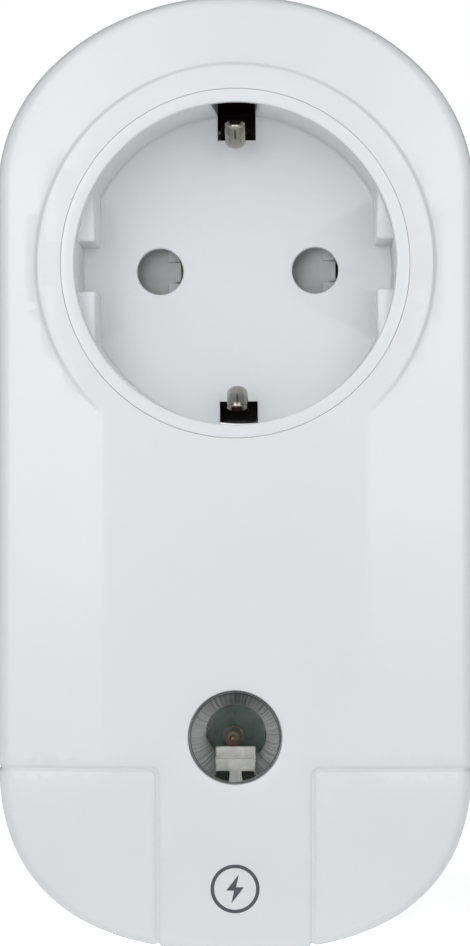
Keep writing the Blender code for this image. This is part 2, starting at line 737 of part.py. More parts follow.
def wires(finishes):
    board_y = BOARD_BACK_Y + GAP
    for sign, mains, load, colour in (
        (1, "live_wire", "load_wire_live", "brown"),
        (-1, "neutral_wire", "load_wire_neutral", "blue"),
    ):
        x = sign * PIN_X
        mains_route = [
            (x, -9.4, 0), (x, -13.5, -0.5), (x * 0.95, -18.0, -4.5), (x * 0.85, -21.8, -11.0),
            (x * 0.7, -25.5, -18.5), (x * 0.6, -31.0, -24.5), (x * 0.55, -36.5, -27.5),
            (x * 0.55, board_y, -28.5),
        ]
        load_route = [
            (x, -26.0, -8.6), (x, -26.2, -12.0), (x * 1.15, -27.5, -18.0), (x * 1.35, -31.5, -23.5),
            (x * 1.4, -36.0, -26.5), (x * 1.4, board_y, -27.5),
        ]
        wire(mains, mains_route, WIRE_RADIUS, finishes[colour])
        wire(load, load_route, WIRE_RADIUS, finishes[colour])
    earth_route = [
        (0, -28.1, -14.0), (0, -26.0, -13.5), (0, -22.0, -12.5), (0, -16.0, -13.5), (0, -8.0, -13.5),
    ]
    wire("earth_wire", earth_route, WIRE_RADIUS, finishes["earth"])


# Fasteners

def screw_profile(head_radius, head_height, shank_radius, length):
    """Head on top, point at the bottom; the seat of the head is at height 0."""
    return [
        (0, head_height), (head_radius * 0.7, head_height), (head_radius, head_height * 0.5),
        (head_radius, 0), (shank_radius, 0), (shank_radius, -length + 1.0), (0, -length),
    ]


def screws(finish):
    sets = (
        ("housing_screw", HOUSING_SCREWS, screw_profile(2.5, 1.8, 1.3, 17.0), SCREW_SHOULDER_Y + GAP),
        ("board_screw", BOARD_SCREWS, screw_profile(2.4, 1.6, 1.05, 8.0), BOARD_BACK_Y + GAP),
    )
    for name, places, profile, seat_y in sets:
        first = None
        for i, (x, z) in enumerate(places, 1):
            first = share(turned(f"{name}_{i}", profile, finish, (x, seat_y, z), 20), first)


def share(obj, first):
    """Give obj the mesh of the first piece of its kind."""
    if first is None:
        return obj.data
    spare = obj.data
    obj.data = first
    bpy.data.meshes.remove(spare)
    return first


def build():
    white = make_material("housing_white", (0.80, 0.81, 0.82), 0.28)
    cool_white = make_material("socket_white", (0.76, 0.79, 0.80), 0.30)
    grey = make_material("shutter_grey", (0.46, 0.49, 0.49), 0.4)
    dark_plastic = make_material("carrier_dark", (0.035, 0.03, 0.03), 0.5)
    nickel = make_material("nickel", (0.70, 0.69, 0.66), 0.25, 1.0)
    brass = make_material("brass", (0.72, 0.55, 0.28), 0.3, 1.0)
    dark_steel = make_material("blackened_steel", (0.06, 0.06, 0.06), 0.45, 1.0)
    clear = make_material("clear", (0.93, 0.95, 0.95), 0.05, 0.0, 1.0)
    spring_steel = make_material("spring_steel", (0.55, 0.56, 0.58), 0.3, 1.0)
    screw_steel = make_material("screw_steel", (0.50, 0.51, 0.53), 0.35, 1.0)
    board_green = make_material("board_green", (0.03, 0.10, 0.06), 0.4)
    lamp = make_material("lamp", (0.52, 0.36, 0.34), 0.3)
    arm_white = make_material("arm_white", (0.72, 0.74, 0.75), 0.4)
    shroud_grey = make_material("shroud_grey", (0.36, 0.38, 0.38), 0.35)
    finishes = {
        "black": make_material("component_black", (0.03, 0.03, 0.035), 0.4),
        "ochre": make_material("capacitor_ochre", (0.62, 0.45, 0.10), 0.4),
        "can": make_material("capacitor_sleeve", (0.05, 0.06, 0.12), 0.3),
        "blue": make_material("component_blue", (0.05, 0.15, 0.45), 0.4),
        "brown": make_material("component_brown", (0.22, 0.10, 0.05), 0.4),
        "copper": make_material("copper", (0.75, 0.40, 0.25), 0.3, 1.0),
        "shield": make_material("shield", (0.66, 0.67, 0.68), 0.3, 1.0),
        "earth": make_material("earth_green_yellow", (0.35, 0.45, 0.08), 0.4),
    }
    front_housing(white)
    rear_housing(white)
    plug_base(white)
    socket_insert(cool_white)
    shutter(grey)
    shutter_spring(spring_steel)
    contact_carrier(dark_plastic)
    contact("live_contact", 1, brass)
    contact("neutral_contact", -1, brass)
    earth_clip("earth_clip_upper", 1, nickel)
    earth_clip("earth_clip_lower", -1, nickel)
    earth_bridge(dark_steel)
    plug_pin("plug_pin_live", 1, nickel)
    plug_pin("plug_pin_neutral", -1, nickel)
    plug_earth_contact("plug_earth_contact_upper", 1, nickel)
    plug_earth_contact("plug_earth_contact_lower", -1, nickel)
    button_cap(clear)
    switch_plunger(arm_white)
    tact_switch(finishes["black"])
    switch_actuator(lamp)
    status_led(lamp)
    light_shroud(shroud_grey)
    main_board(board_green)
    components(finishes)
    wires(finishes)
    screws(screw_steel)


clear_scene()
PARTS = collection(COLLECTION)
CUTTERS = collection("cutters")
build()
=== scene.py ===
from math import acos, asin, atan2, copysign, cos, degrees, hypot, pi, radians, sin, sqrt, tan

import bmesh
import bpy
from mathutils import Matrix, Vector
from mathutils.geometry import delaunay_2d_cdt


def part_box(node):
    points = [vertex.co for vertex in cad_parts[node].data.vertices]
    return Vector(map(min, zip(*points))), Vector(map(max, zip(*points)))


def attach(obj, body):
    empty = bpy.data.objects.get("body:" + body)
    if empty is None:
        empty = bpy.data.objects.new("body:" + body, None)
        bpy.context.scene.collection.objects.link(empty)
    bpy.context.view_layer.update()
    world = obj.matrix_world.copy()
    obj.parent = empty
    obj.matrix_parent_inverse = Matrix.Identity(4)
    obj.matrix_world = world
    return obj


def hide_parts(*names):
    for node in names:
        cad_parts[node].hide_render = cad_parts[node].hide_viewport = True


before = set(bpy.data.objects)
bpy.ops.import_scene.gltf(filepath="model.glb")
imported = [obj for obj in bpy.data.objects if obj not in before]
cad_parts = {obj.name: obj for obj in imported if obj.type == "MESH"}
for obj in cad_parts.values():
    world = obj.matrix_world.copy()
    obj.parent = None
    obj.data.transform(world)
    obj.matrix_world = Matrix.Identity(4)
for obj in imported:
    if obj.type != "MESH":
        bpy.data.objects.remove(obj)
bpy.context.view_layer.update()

MM = 0.001


def box_mm(node):
    """Lowest and highest corner of a CAD node, in millimetres."""
    low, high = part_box(node)
    return Vector(low) / MM, Vector(high) / MM


# Driving dimensions, in millimetres, from the frame
FRONT_LOW, FRONT_HIGH = box_mm("front_housing")
CAP_LOW, CAP_HIGH = box_mm("button_cap")
HALF_WIDTH = FRONT_HIGH.x
TOP_Z = FRONT_HIGH.z
BOTTOM_Z = FRONT_LOW.z
FRONT_Y = FRONT_LOW.y
BACK_Y = box_mm("rear_housing")[1].y
SPLIT_Y = FRONT_HIGH.y + 0.15
BUTTON_Z = (CAP_LOW.z + CAP_HIGH.z) / 2

# Housing details
TOP_HEIGHT = 23.0
BOTTOM_HEIGHT = 24.0
BOTTOM_POWER = 2.5
DRAFT = 0.4
WALL = 2.1
EDGE_RADIUS = 1.35
SLOPE_WIDTH = 12.8
SLOPE = tan(radians(4.9))
PLATEAU_RADIUS = 23.6
RIM_HOLE_RADIUS = 20.65
BUTTON_HOLE_RADIUS = 5.54
GROOVE_X = 9.2
GROOVE_Z = -59.7
GROOVE_CORNER = 0.9
GROOVE_DEPTH = 0.32
GROOVE_HALF_WIDTH = 0.42
SEAM = 0.12
WELD = 0.002
STEP_INNER = -0.32
STEP_WIDTH = 0.62

# Distances from an edge at which a curved face gets a ring of points
FRONT_RINGS = (0.0, 0.02, 0.08, 0.19, 0.34, 0.55, 0.8, 1.1, 1.4, 1.7, 3.0, 5.0, 7.5, 10.0, 11.4, 12.1, 12.3,
               12.4,
               12.5, 12.7, 13.4, 14.6)
HOLE_RINGS = (0.0, 0.01, 0.04, 0.09, 0.15, 0.22)

# Margins that tell a triangle beside a rounded edge from a sliver across it
SLIVER = 0.0035
INSIDE = 0.0014

# Lamp, as (x, z), and printed mark
LAMP = (-0.35, BUTTON_Z - 0.45)
MARK_Z = -73.9
MARK_RADIUS = 2.9
MARK_LINE = 0.42
MARK_LIFT = 0.015

# Socket details
RIM_RADIUS = 20.62
RECESS_RADIUS = 19.05
FLOOR_Y = FRONT_Y + 17.5
GUIDE_X = 16.75
GUIDE_Y = FRONT_Y + 4.0
SLOT_HALF_WIDTH = 2.95
SOCKET_TURN = radians(-0.45)
PIN_X = 9.5
PIN_HOLE_RADIUS = 2.83

# Back details
BACK_RADIUS = 2.4
PLUG_HOLE_RADIUS = 18.7
WELL_RADIUS = 2.9
SHOULDER_Y = -25.0
INSIDE_BACK_Y = BACK_Y - 2.0
WELL_WALL = 1.0
LABEL_Z = -48.0
LABEL_SIZE = Vector((15.0, 10.0, 2.0))
LABEL_DEPTH = 0.18
LABEL_EDGE = 0.25


def middle(name):
    """X and Z of a node's middle, in millimetres."""
    low, high = box_mm(name)
    return (low.x + high.x) / 2, (low.z + high.z) / 2


SCREW_NAMES = [f"housing_screw_{index}" for index in range(1, 5)]
SCREWS = [middle(name) for name in SCREW_NAMES]


# Mesh helpers

def mesh_object(name, bm, smooth_angle=None):
    """An object from a bmesh in millimetres."""
    bmesh.ops.scale(bm, verts=bm.verts[:], vec=(MM, MM, MM))
    mesh = bpy.data.meshes.new(name)
    bm.to_mesh(mesh)
    bm.free()
    mesh.shade_smooth()
    if smooth_angle is not None:
        mesh.set_sharp_from_angle(angle=radians(smooth_angle))
    obj = bpy.data.objects.new(name, mesh)
    bpy.context.scene.collection.objects.link(obj)
    return obj


def close_up(bm):
    """Weld coincident points and face everything outward."""
    bmesh.ops.remove_doubles(bm, verts=bm.verts[:], dist=0.0005)
    bmesh.ops.recalc_face_normals(bm, faces=bm.faces[:])
    return bm


def ring_points(radius, count, x=0.0, z=0.0, start=0.0, end=360.0):
    """Points on a circle, or on its arc between two angles in degrees."""
    closed = abs(end - start) >= 360.0
    steps = count if closed else count - 1
    angles = [radians(start + (end - start) * i / steps) for i in range(count)]
    return [(x + radius * cos(a), z + radius * sin(a)) for a in angles]


# Turned pieces and cutters

def rounded(points, steps=5):
    """A path through (a, b, radius) points with its corners rounded."""
    path = []
    last = len(points) - 1
    for i, (a, b, radius) in enumerate(points):
        here = Vector((a, b))
        if radius <= 0 or i in (0, last):
            path.append((a, b))
            continue
        before = (Vector(points[i - 1][:2]) - here).normalized()
        after = (Vector(points[i + 1][:2]) - here).normalized()
        half = before.angle(after) / 2
        centre = here + (before + after).normalized() * (radius / sin(half))
        start = here + before * (radius / tan(half)) - centre
        end = here + after * (radius / tan(half)) - centre
        sweep = start.angle_signed(end)
        for k in range(steps + 1):
            turned = start.copy()
            turned.rotate(Matrix.Rotation(-sweep * k / steps, 2))
            path.append((centre.x + turned.x, centre.y + turned.y))
    return path


def bridge(bm, rings):
    """Faces between successive closed rings of verts; a ring of one vert makes a cone."""
    for lower, upper in zip(rings, rings[1:]):
        count = max(len(lower), len(upper))
        for i in range(count):
            j = (i + 1) % count
            corners = (lower[i % len(lower)], lower[j % len(lower)], upper[j % len(upper)],
                       upper[i % len(upper)])
            unique = list(dict.fromkeys(corners))
            if len(unique) > 2:
                bm.faces.new(unique)


def lathe(bm, profile, count, x=0.0, z=0.0, closed=False):
    """Turn a profile of (radius, y) points about the line through (x, z) along Y."""
    rings = []
    for radius, y in profile:
        if radius < 1e-6:
            rings.append([bm.verts.new((x, y, z))])
        else:
            rings.append([bm.verts.new((px, y, pz)) for px, pz in ring_points(radius, count, x, z)])
    bridge(bm, rings + rings[:1] if closed else rings)
    return bm


def prism(bm, corners, along):
    """Sweep the flat face through 3D corners by the vector along."""
    face = bm.faces.new([bm.verts.new(corner) for corner in corners])
    made = bmesh.ops.extrude_face_region(bm, geom=[face])
    moved = [item for item in made["geom"] if isinstance(item, bmesh.types.BMVert)]
    bmesh.ops.translate(bm, verts=moved, vec=along)
    return bm


def block(x, y, z, bm=None):
    """A box between (low, high) pairs, added to bm or to a new bmesh."""
    corners = [(x[0], y[0], z[0]), (x[1], y[0], z[0]), (x[1], y[0], z[1]), (x[0], y[0], z[1])]
    return prism(bm or bmesh.new(), corners, (0, y[1] - y[0], 0))


def spin(bm, angle, x=0.0, z=0.0):
    """Turn a shape about the Y axis and then move it to (x, z)."""
    bmesh.ops.rotate(bm, verts=bm.verts[:], cent=(0, 0, 0), matrix=Matrix.Rotation(angle, 3, "Y"))
    bmesh.ops.translate(bm, verts=bm.verts[:], vec=(x, 0, z))
    return bm


def bevelled(bm, width, segments=3, angle=30):
    """Round the sharp edges of a closed bmesh."""
    bmesh.ops.recalc_face_normals(bm, faces=bm.faces[:])
    edges = [e for e in bm.edges if len(e.link_faces) == 2 and e.calc_face_angle() > radians(angle)]
    bmesh.ops.bevel(bm, geom=edges, offset=width, segments=segments, profile=0.5, affect="EDGES",
                    clamp_overlap=True)
    return bm


def combine(name, base, operations, smooth_angle=35):
    """Apply Booleans, each (operation, bmesh), to the bmesh base and return the finished object."""
    obj = mesh_object(name, close_up(base))
    tools = []
    for operation, shape in operations:
        tool = mesh_object("tool", close_up(shape))
        tools.append(tool)
        modifier = obj.modifiers.new("boolean", "BOOLEAN")
        modifier.operation = operation
        modifier.object = tool
    graph = bpy.context.evaluated_depsgraph_get()
    mesh = bpy.data.meshes.new_from_object(obj.evaluated_get(graph))
    obj.modifiers.clear()
    obj.data = mesh
    for tool in tools:
        bpy.data.objects.remove(tool)
    mesh.shade_smooth()
    mesh.set_sharp_from_angle(angle=radians(smooth_angle))
    return obj


def smooth_step(t):
    t = min(max(t, 0.0), 1.0)
    return t * t * (3 - 2 * t)


# The housing's outline

class Outline:
    """The rounded plan of the housing: a half ellipse above and a squarer half below."""

    def __init__(self, steps=150):
        self.points = []
        self.normals = []
        halves = (
            (TOP_Z - TOP_HEIGHT, TOP_HEIGHT, 2.0, 0.0),
            (BOTTOM_Z + BOTTOM_HEIGHT, BOTTOM_HEIGHT, BOTTOM_POWER, pi),
        )
        for centre, height, power, start in halves:
            for i in range(steps + 1):
                self.add(centre, height, power, start + pi * i / steps)
        self.add_sides()

    def add(self, centre, height, power, angle):
        c, s = (0.0 if abs(value) < 1e-9 else value for value in (cos(angle), sin(angle)))
        x = abs(c) ** (2 / power)
        z = abs(s) ** (2 / power)
        normal = Vector((copysign(x ** (power - 1), c) / HALF_WIDTH, copysign(z ** (power - 1), s) / height))
        self.points.append(Vector((HALF_WIDTH * copysign(x, c), centre + height * copysign(z, s))))
        self.normals.append(normal.normalized())

    def add_sides(self):
        """Extra points on the straight sides, between the two halves."""
        count = len(self.points) // 2
        left = self.between(count - 1, count)
        right = self.between(2 * count - 1, 0)
        self.points = self.points[:count] + left[0] + self.points[count:] + right[0]
        self.normals = self.normals[:count] + left[1] + self.normals[count:] + right[1]

    def between(self, i, j, steps=40):
        a, b = self.points[i], self.points[j]
        points = [a.lerp(b, k / steps) for k in range(1, steps)]
        return points, [self.normals[i].copy() for _ in points]

    def inset(self, distance):
        return [p - n * distance for p, n in zip(self.points, self.normals)]

    def depth(self, x, z):
        """Distance of (x, z) inside the outline, negative outside it, and the unit vector inward."""
        best = None
        point = Vector((x, z))
        count = len(self.points)
        nearest = min(range(count), key=lambda i: (self.points[i] - point).length_squared)
        for i in (nearest - 1, nearest):
            a, b = self.points[i % count], self.points[(i + 1) % count]
            along = b - a
            if along.length_squared < 1e-12:
                continue
            t = min(max((point - a).dot(along) / along.length_squared, 0.0), 1.0)
            gap = point - (a + along * t)
            if best is None or gap.length < abs(best[0]):
                inward = -self.normals[i % count].lerp(self.normals[(i + 1) % count], t).normalized()
                best = (gap.length if gap.dot(inward) >= 0 else -gap.length, inward)
        return best


OUTLINE = Outline()


def groove_distance(x, z):
    """Distance from (x, z) to the centre line of the nearer L-shaped groove."""
    x = abs(x)
    corner_x = GROOVE_X + GROOVE_CORNER
    corner_z = GROOVE_Z - GROOVE_CORNER
    if x >= corner_x and z >= corner_z:
        return abs(z - GROOVE_Z)
    if z <= corner_z and x <= corner_x:
        return abs(x - GROOVE_X)
    if x >= corner_x and z < corner_z:
        return hypot(x - corner_x, z - corner_z) + GROOVE_CORNER
    return abs(hypot(x - corner_x, z - corner_z) - GROOVE_CORNER)


def groove_depth(x, z):
    t = groove_distance(x, z) / GROOVE_HALF_WIDTH
    return GROOVE_DEPTH * (1 - smooth_step(t)) if t < 1 else 0.0


def edge_drop(distance, radius):
    """How far a rounded edge falls away at a distance inside it."""
    if distance >= radius:
        return 0.0
    return radius - sqrt(max(radius ** 2 - (radius - max(distance, 0.0)) ** 2, 0.0))


def front_height(x, z):
    """Y of the front face at (x, z), before its grooves, and the slope across the edge."""
    depth, inward = OUTLINE.depth(x, z)
    depth -= DRAFT
    softness = 0.25 + 3.2 * smooth_step((-61.0 - z) / 10.0) + 2.0 * smooth_step((z - 12.0) / 8.0)
    below = SLOPE_WIDTH - DRAFT - depth
    slope = SLOPE * 0.5 * (below + sqrt(below * below + softness * softness))
    r = hypot(x, z)
    slope *= smooth_step((r - PLATEAU_RADIUS - STEP_INNER) / STEP_WIDTH)
    y = FRONT_Y + slope + edge_drop(depth, EDGE_RADIUS)
    y += edge_drop(r - RIM_HOLE_RADIUS, 0.06)
    y += edge_drop(hypot(x, z - BUTTON_Z) - BUTTON_HOLE_RADIUS, 0.22)
    rest = max(EDGE_RADIUS - depth, 0.0)
    fall = -rest / sqrt(max(EDGE_RADIUS ** 2 - rest ** 2, 1e-4))
    return y, inward, fall


def front_point(x, z):
    """Point of the front face at (x, z), sunk where a groove runs."""
    y, inward, fall = front_height(x, z)
    point = Vector((x, y, z))
    sunk = groove_depth(x, z)
    if sunk:
        normal = Vector((fall * inward.x, -1.0, fall * inward.y)).normalized()
        point -= normal * sunk
    return point


def triangulate(loops, points, keep):
    """Triangles through loops and points, as (2D points, faces) where keep(x, z) is true."""
    coords, edges = [], []
    for loop, closed in loops:
        start = len(coords)
        coords += [Vector(p) for p in loop]
        last = len(coords) - 1
        edges += [(i, i + 1) for i in range(start, last)]
        if closed:
            edges.append((last, start))
    coords += [Vector(p) for p in points]
    out, _, faces, _, _, _ = delaunay_2d_cdt(coords, edges, [], 0, 0.0004)
    kept = []
    for face in faces:
        centre = sum((out[i] for i in face), Vector((0.0, 0.0))) / len(face)
        if keep(centre.x, centre.y):
            kept.append(face)
    return out, kept


def groove_lines():
    """Open lines beside each L-shaped groove, close enough to hold its section."""
    lines = []
    reach = 32.0
    corner = (GROOVE_X + GROOVE_CORNER, GROOVE_Z - GROOVE_CORNER)
    for sign in (-1, 1):
        for k in range(-4, 5):
            offset = GROOVE_HALF_WIDTH * k / 4
            line = [(reach - i, GROOVE_Z + offset) for i in range(int(reach - corner[0]))]
            line += ring_points(GROOVE_CORNER + offset, 7, *corner, start=90, end=180)
            line += [(GROOVE_X - offset, corner[1] - 0.8 - i) for i in range(26)]
            lines.append(([(sign * x, z) for x, z in line], False))
    return lines


def front_loops():
    """Closed and open lines that the front face's triangles follow."""
    loops = [(OUTLINE.inset(DRAFT + d), True) for d in FRONT_RINGS]
    count = 200
    loops += [(ring_points(PLATEAU_RADIUS + STEP_INNER + STEP_WIDTH * k / 8, count), True) for k in range(9)]
    loops += [(ring_points(RIM_HOLE_RADIUS + d, count), True) for d in HOLE_RINGS]
    loops += [(ring_points(BUTTON_HOLE_RADIUS + d, 96, 0, BUTTON_Z), True) for d in HOLE_RINGS]
    return loops + groove_lines()


def inside_outline(x, z, inset):
    return OUTLINE.depth(x, z)[0] > inset - 0.001


def walls(bm, loop, levels):
    """Walls from a loop of verts through functions that place each further ring; gives the last ring."""
    rings = [loop] + [[bm.verts.new(level(v.co)) for v in loop] for level in levels]
    bridge(bm, rings)
    return rings[-1]


def at_height(y):
    """Places a ring's points straight behind the first ones."""
    return lambda co: Vector((co.x, y, co.z))


def at_outline(y, inset, grooved=False):
    """Places a ring's points at an inset from the outline, deeper where a groove runs off the edge."""
    def placed(co):
        depth, inward = OUTLINE.depth(co.x, co.z)
        move = inset - depth + (groove_depth(co.x, co.z) if grooved else 0.0)
        return Vector((co.x + inward.x * move, y, co.z + inward.y * move))
    return placed


def at_circle(centre, radius, y):
    """Places a ring's points on a circle about centre."""
    def placed(co):
        out = Vector((co.x - centre[0], co.z - centre[1])).normalized() * radius
        return Vector((centre[0] + out.x, y, centre[1] + out.y))
    return placed


def boundary_loops(bm):
    """The open edges of a mesh, as ordered loops of verts."""
    edges = {e for e in bm.edges if len(e.link_faces) == 1}
    loops = []
    while edges:
        edge = edges.pop()
        loop = [edge.verts[0], edge.verts[1]]
        while loop[-1] is not loop[0]:
            step = next(e for e in loop[-1].link_edges if e in edges)
            edges.remove(step)
            loop.append(step.other_vert(loop[-1]))
        loops.append(loop[:-1])
    return loops


def flat_face(bm, loops, points, keep, place):
    """Add a triangulated face whose points are put in space by place(x, z)."""
    coords, faces = triangulate(loops, points, keep)
    verts = {}
    for face in faces:
        for i in face:
            if i not in verts:
                verts[i] = bm.verts.new(place(coords[i].x, coords[i].y))
        bm.faces.new([verts[i] for i in face])


def grid_points(step, low, high, keep):
    points = []
    x = low[0]
    while x < high[0]:
        z = low[1]
        while z < high[1]:
            if keep(x, z):
                points.append((x, z))
            z += step
        x += step
    return points


def outer_face(bm, loops, step, margin, keep, place):
    """Add a shell's shaped face; gives its outer edge and the edges of its holes, as loops of verts."""
    points = grid_points(step, (-28, -81), (28, 32), lambda x,
                         z: keep(x, z) and inside_outline(x, z, margin))
    flat_face(bm, loops, points, keep, place)
    bmesh.ops.remove_doubles(bm, verts=bm.verts[:], dist=WELD)
    edges = boundary_loops(bm)
    outer = max(edges, key=lambda loop: max(v.co.z for v in loop))
    return outer, [loop for loop in edges if loop is not outer]


def inner_face(bm, ends, y, keep):
    """Close a shell's inside with a flat face between the given loops of verts."""
    loops = [([(v.co.x, v.co.z) for v in end], True) for end in ends]
    flat_face(bm, loops, [], keep, lambda x, z: Vector((x, y, z)))


def front_shell():
    """Front half of the housing: shaped face, side walls with a seam, and a flat inside."""
    bm = bmesh.new()
    inside_y = FRONT_Y + 3.0
    shoulder_y = FRONT_Y + SLOPE * (SLOPE_WIDTH - DRAFT) + EDGE_RADIUS

    def keep(x, z, sliver=0.0, inset=DRAFT):
        open_socket = hypot(x, z) < RIM_HOLE_RADIUS - sliver
        open_button = hypot(x, z - BUTTON_Z) < BUTTON_HOLE_RADIUS - sliver
        return not open_socket and not open_button and inside_outline(x, z, inset)

    outer, holes = outer_face(bm, front_loops(), 2.3, 3.0, keep, front_point)
    levels = [at_outline(y, inset, True) for y, inset in (
        (shoulder_y + 1.5, DRAFT - 0.10), (shoulder_y + 3.5, DRAFT - 0.22), (FRONT_Y + 9.5, 0.03),
        (FRONT_Y + 12, 0.0), (SPLIT_Y - SEAM - 0.25, 0.0), (SPLIT_Y - SEAM - 0.08, 0.05),
        (SPLIT_Y - SEAM, 0.2),
    )]
    levels += [at_outline(y, inset) for y, inset in (
        (SPLIT_Y - SEAM, WALL), (FRONT_Y + 4.5, WALL), (FRONT_Y + 3.4, WALL + 0.8), (inside_y, WALL + 3.0),
    )]
    ends = [walls(bm, outer, levels)]
    ends += [walls(bm, loop, [at_height(FRONT_Y + 1.0), at_height(inside_y)]) for loop in holes]
    inner_face(bm, ends, inside_y, lambda x, z: keep(x, z, SLIVER, WALL + 3.0 + INSIDE))
    return mesh_object("front_shell", close_up(bm), 50)


def rear_shell():
    """Back half of the housing with its lip, screw wells and a shallow blank label recess."""
    bm = bmesh.new()
    lip_y = SPLIT_Y - 1.6

    def keep(x, z, well=WELL_RADIUS, plug=PLUG_HOLE_RADIUS, inset=0.0):
        in_well = any(hypot(x - sx, z - sz) < well for sx, sz in SCREWS)
        return not in_well and hypot(x, z) > plug and inside_outline(x, z, inset)

    def place(x, z):
        depth, _ = OUTLINE.depth(x, z)
        drop = edge_drop(depth, BACK_RADIUS) + edge_drop(hypot(x, z) - PLUG_HOLE_RADIUS, 0.3)
        drop += sum(edge_drop(hypot(x - sx, z - sz) - WELL_RADIUS, 0.22) for sx, sz in SCREWS)
        label = rectangle_distance(x, z - LABEL_Z, *LABEL_SIZE)
        drop += LABEL_DEPTH * smooth_step(0.5 - label / (2 * LABEL_EDGE))
        return Vector((x, BACK_Y - drop, z))

    loops = [(OUTLINE.inset(BACK_RADIUS * (1 - cos(radians(90 * k / 10)))), True) for k in range(11)]
    loops += [(ring_points(PLUG_HOLE_RADIUS + d * 1.4, 160), True) for d in HOLE_RINGS]
    loops += [(ring_points(WELL_RADIUS + d, 40, *screw_at), True) for screw_at in SCREWS for d in HOLE_RINGS]
    for grow in (-LABEL_EDGE, -0.12, 0.0, 0.12, LABEL_EDGE):
        loops.append((rounded_rectangle(*(size + grow for size in LABEL_SIZE), 0.0, LABEL_Z), True))
    outer, holes = outer_face(bm, loops, 3.0, 4.0, keep, place)
    ends = [walls(bm, outer, [at_outline(y, inset) for y, inset in (
        (BACK_Y - BACK_RADIUS - 4.0, 0.0), (SPLIT_Y + SEAM + 0.25, 0.0), (SPLIT_Y + SEAM + 0.08, 0.05),
        (SPLIT_Y + SEAM, 0.2), (SPLIT_Y + SEAM, WALL + 0.3), (lip_y, WALL + 0.3), (lip_y, WALL + 1.3),
        (BACK_Y - 3.4, WALL + 1.3), (INSIDE_BACK_Y, WALL + 2.7),
    )])]
    for loop in holes:
        centre = (sum(v.co.x for v in loop) / len(loop), sum(v.co.z for v in loop) / len(loop))
        if hypot(*centre) < 5.0:
            ends.append(walls(bm, loop, [at_height(INSIDE_BACK_Y)]))
            continue
        shoulder = walls(bm, loop, [at_height(SHOULDER_Y)])
        ends.append(walls(bm, shoulder, [at_circle(centre, radius, y) for radius, y in (
            (1.6, SHOULDER_Y), (1.6, SHOULDER_Y - 1.5), (WELL_RADIUS + WELL_WALL, SHOULDER_Y - 1.5),
            (WELL_RADIUS + WELL_WALL, INSIDE_BACK_Y),
        )]))
    inner_face(bm, ends, INSIDE_BACK_Y, lambda x, z: keep(
        x, z, WELL_RADIUS + WELL_WALL - 4 * SLIVER, PLUG_HOLE_RADIUS - SLIVER, WALL + 2.7 + INSIDE))
    return mesh_object("rear_shell", close_up(bm), 50)


def rounded_rectangle(half_x, half_z, radius, x=0.0, z=0.0, steps=8):
    points = []
    for sx, sz, start in ((1, 1, 0), (-1, 1, 90), (-1, -1, 180), (1, -1, 270)):
        corner = (x + sx * (half_x - radius), z + sz * (half_z - radius))
        points += ring_points(radius, steps + 1, *corner, start, start + 90)
    return points


def rectangle_distance(x, z, half_x, half_z, radius):
    """Signed distance to a rounded rectangle's edge, negative inside."""
    dx = abs(x) - half_x + radius
    dz = abs(z) - half_z + radius
    outside = hypot(max(dx, 0.0), max(dz, 0.0))
    return outside + min(max(dx, dz), 0.0) - radius


# Socket

def socket_cup():
    """The socket's cup: rim, round wall, floor, four guide blocks, pin holes and clip windows."""
    back_y = box_mm("socket_insert")[1].y
    flange_y = FRONT_Y + 14.3
    profile = rounded([
        (0.0, FLOOR_Y, 0), (RECESS_RADIUS, FLOOR_Y, 0.35), (RECESS_RADIUS, FRONT_Y + 0.02, 0.22),
        (RIM_RADIUS, FRONT_Y + 0.02, 0.06), (RIM_RADIUS, flange_y, 0), (RIM_RADIUS + 1.9, flange_y, 0.2),
        (RIM_RADIUS + 1.9, flange_y + 1.8, 0.2), (RIM_RADIUS, flange_y + 1.8, 0), (RIM_RADIUS, back_y, 0.3),
        (0.0, back_y, 0),
    ])
    base = lathe(bmesh.new(), profile, 180)
    operations = [("UNION", guide_block(sx, sz)) for sx in (-1, 1) for sz in (-1, 1)]
    hole = rounded([
        (0.0, FLOOR_Y - 1.0, 0), (PIN_HOLE_RADIUS + 0.35, FLOOR_Y - 1.0, 0),
        (PIN_HOLE_RADIUS + 0.35, FLOOR_Y - 0.001, 0), (PIN_HOLE_RADIUS + 0.12, FLOOR_Y - 0.001, 0),
        (PIN_HOLE_RADIUS, FLOOR_Y + 0.12, 0.1), (PIN_HOLE_RADIUS, back_y + 1.0, 0), (0.0, back_y + 1.0, 0),
    ])
    half_window = [(2.80, FRONT_Y + 1.1), (2.33, FLOOR_Y - 4.0), (2.33, back_y + 1.0)]
    window = [(-x, y) for x, y in half_window] + half_window[::-1]
    cutters = bmesh.new()
    for sign in (-1, 1):
        lathe(cutters, hole, 64, sign * PIN_X, 0.0)
        prism(cutters, [(x, y, sign * 16.0) for x, y in window], (0, 0, sign * 8.0))
    operations.append(("DIFFERENCE", cutters))
    return combine("socket_cup", base, operations, 32)


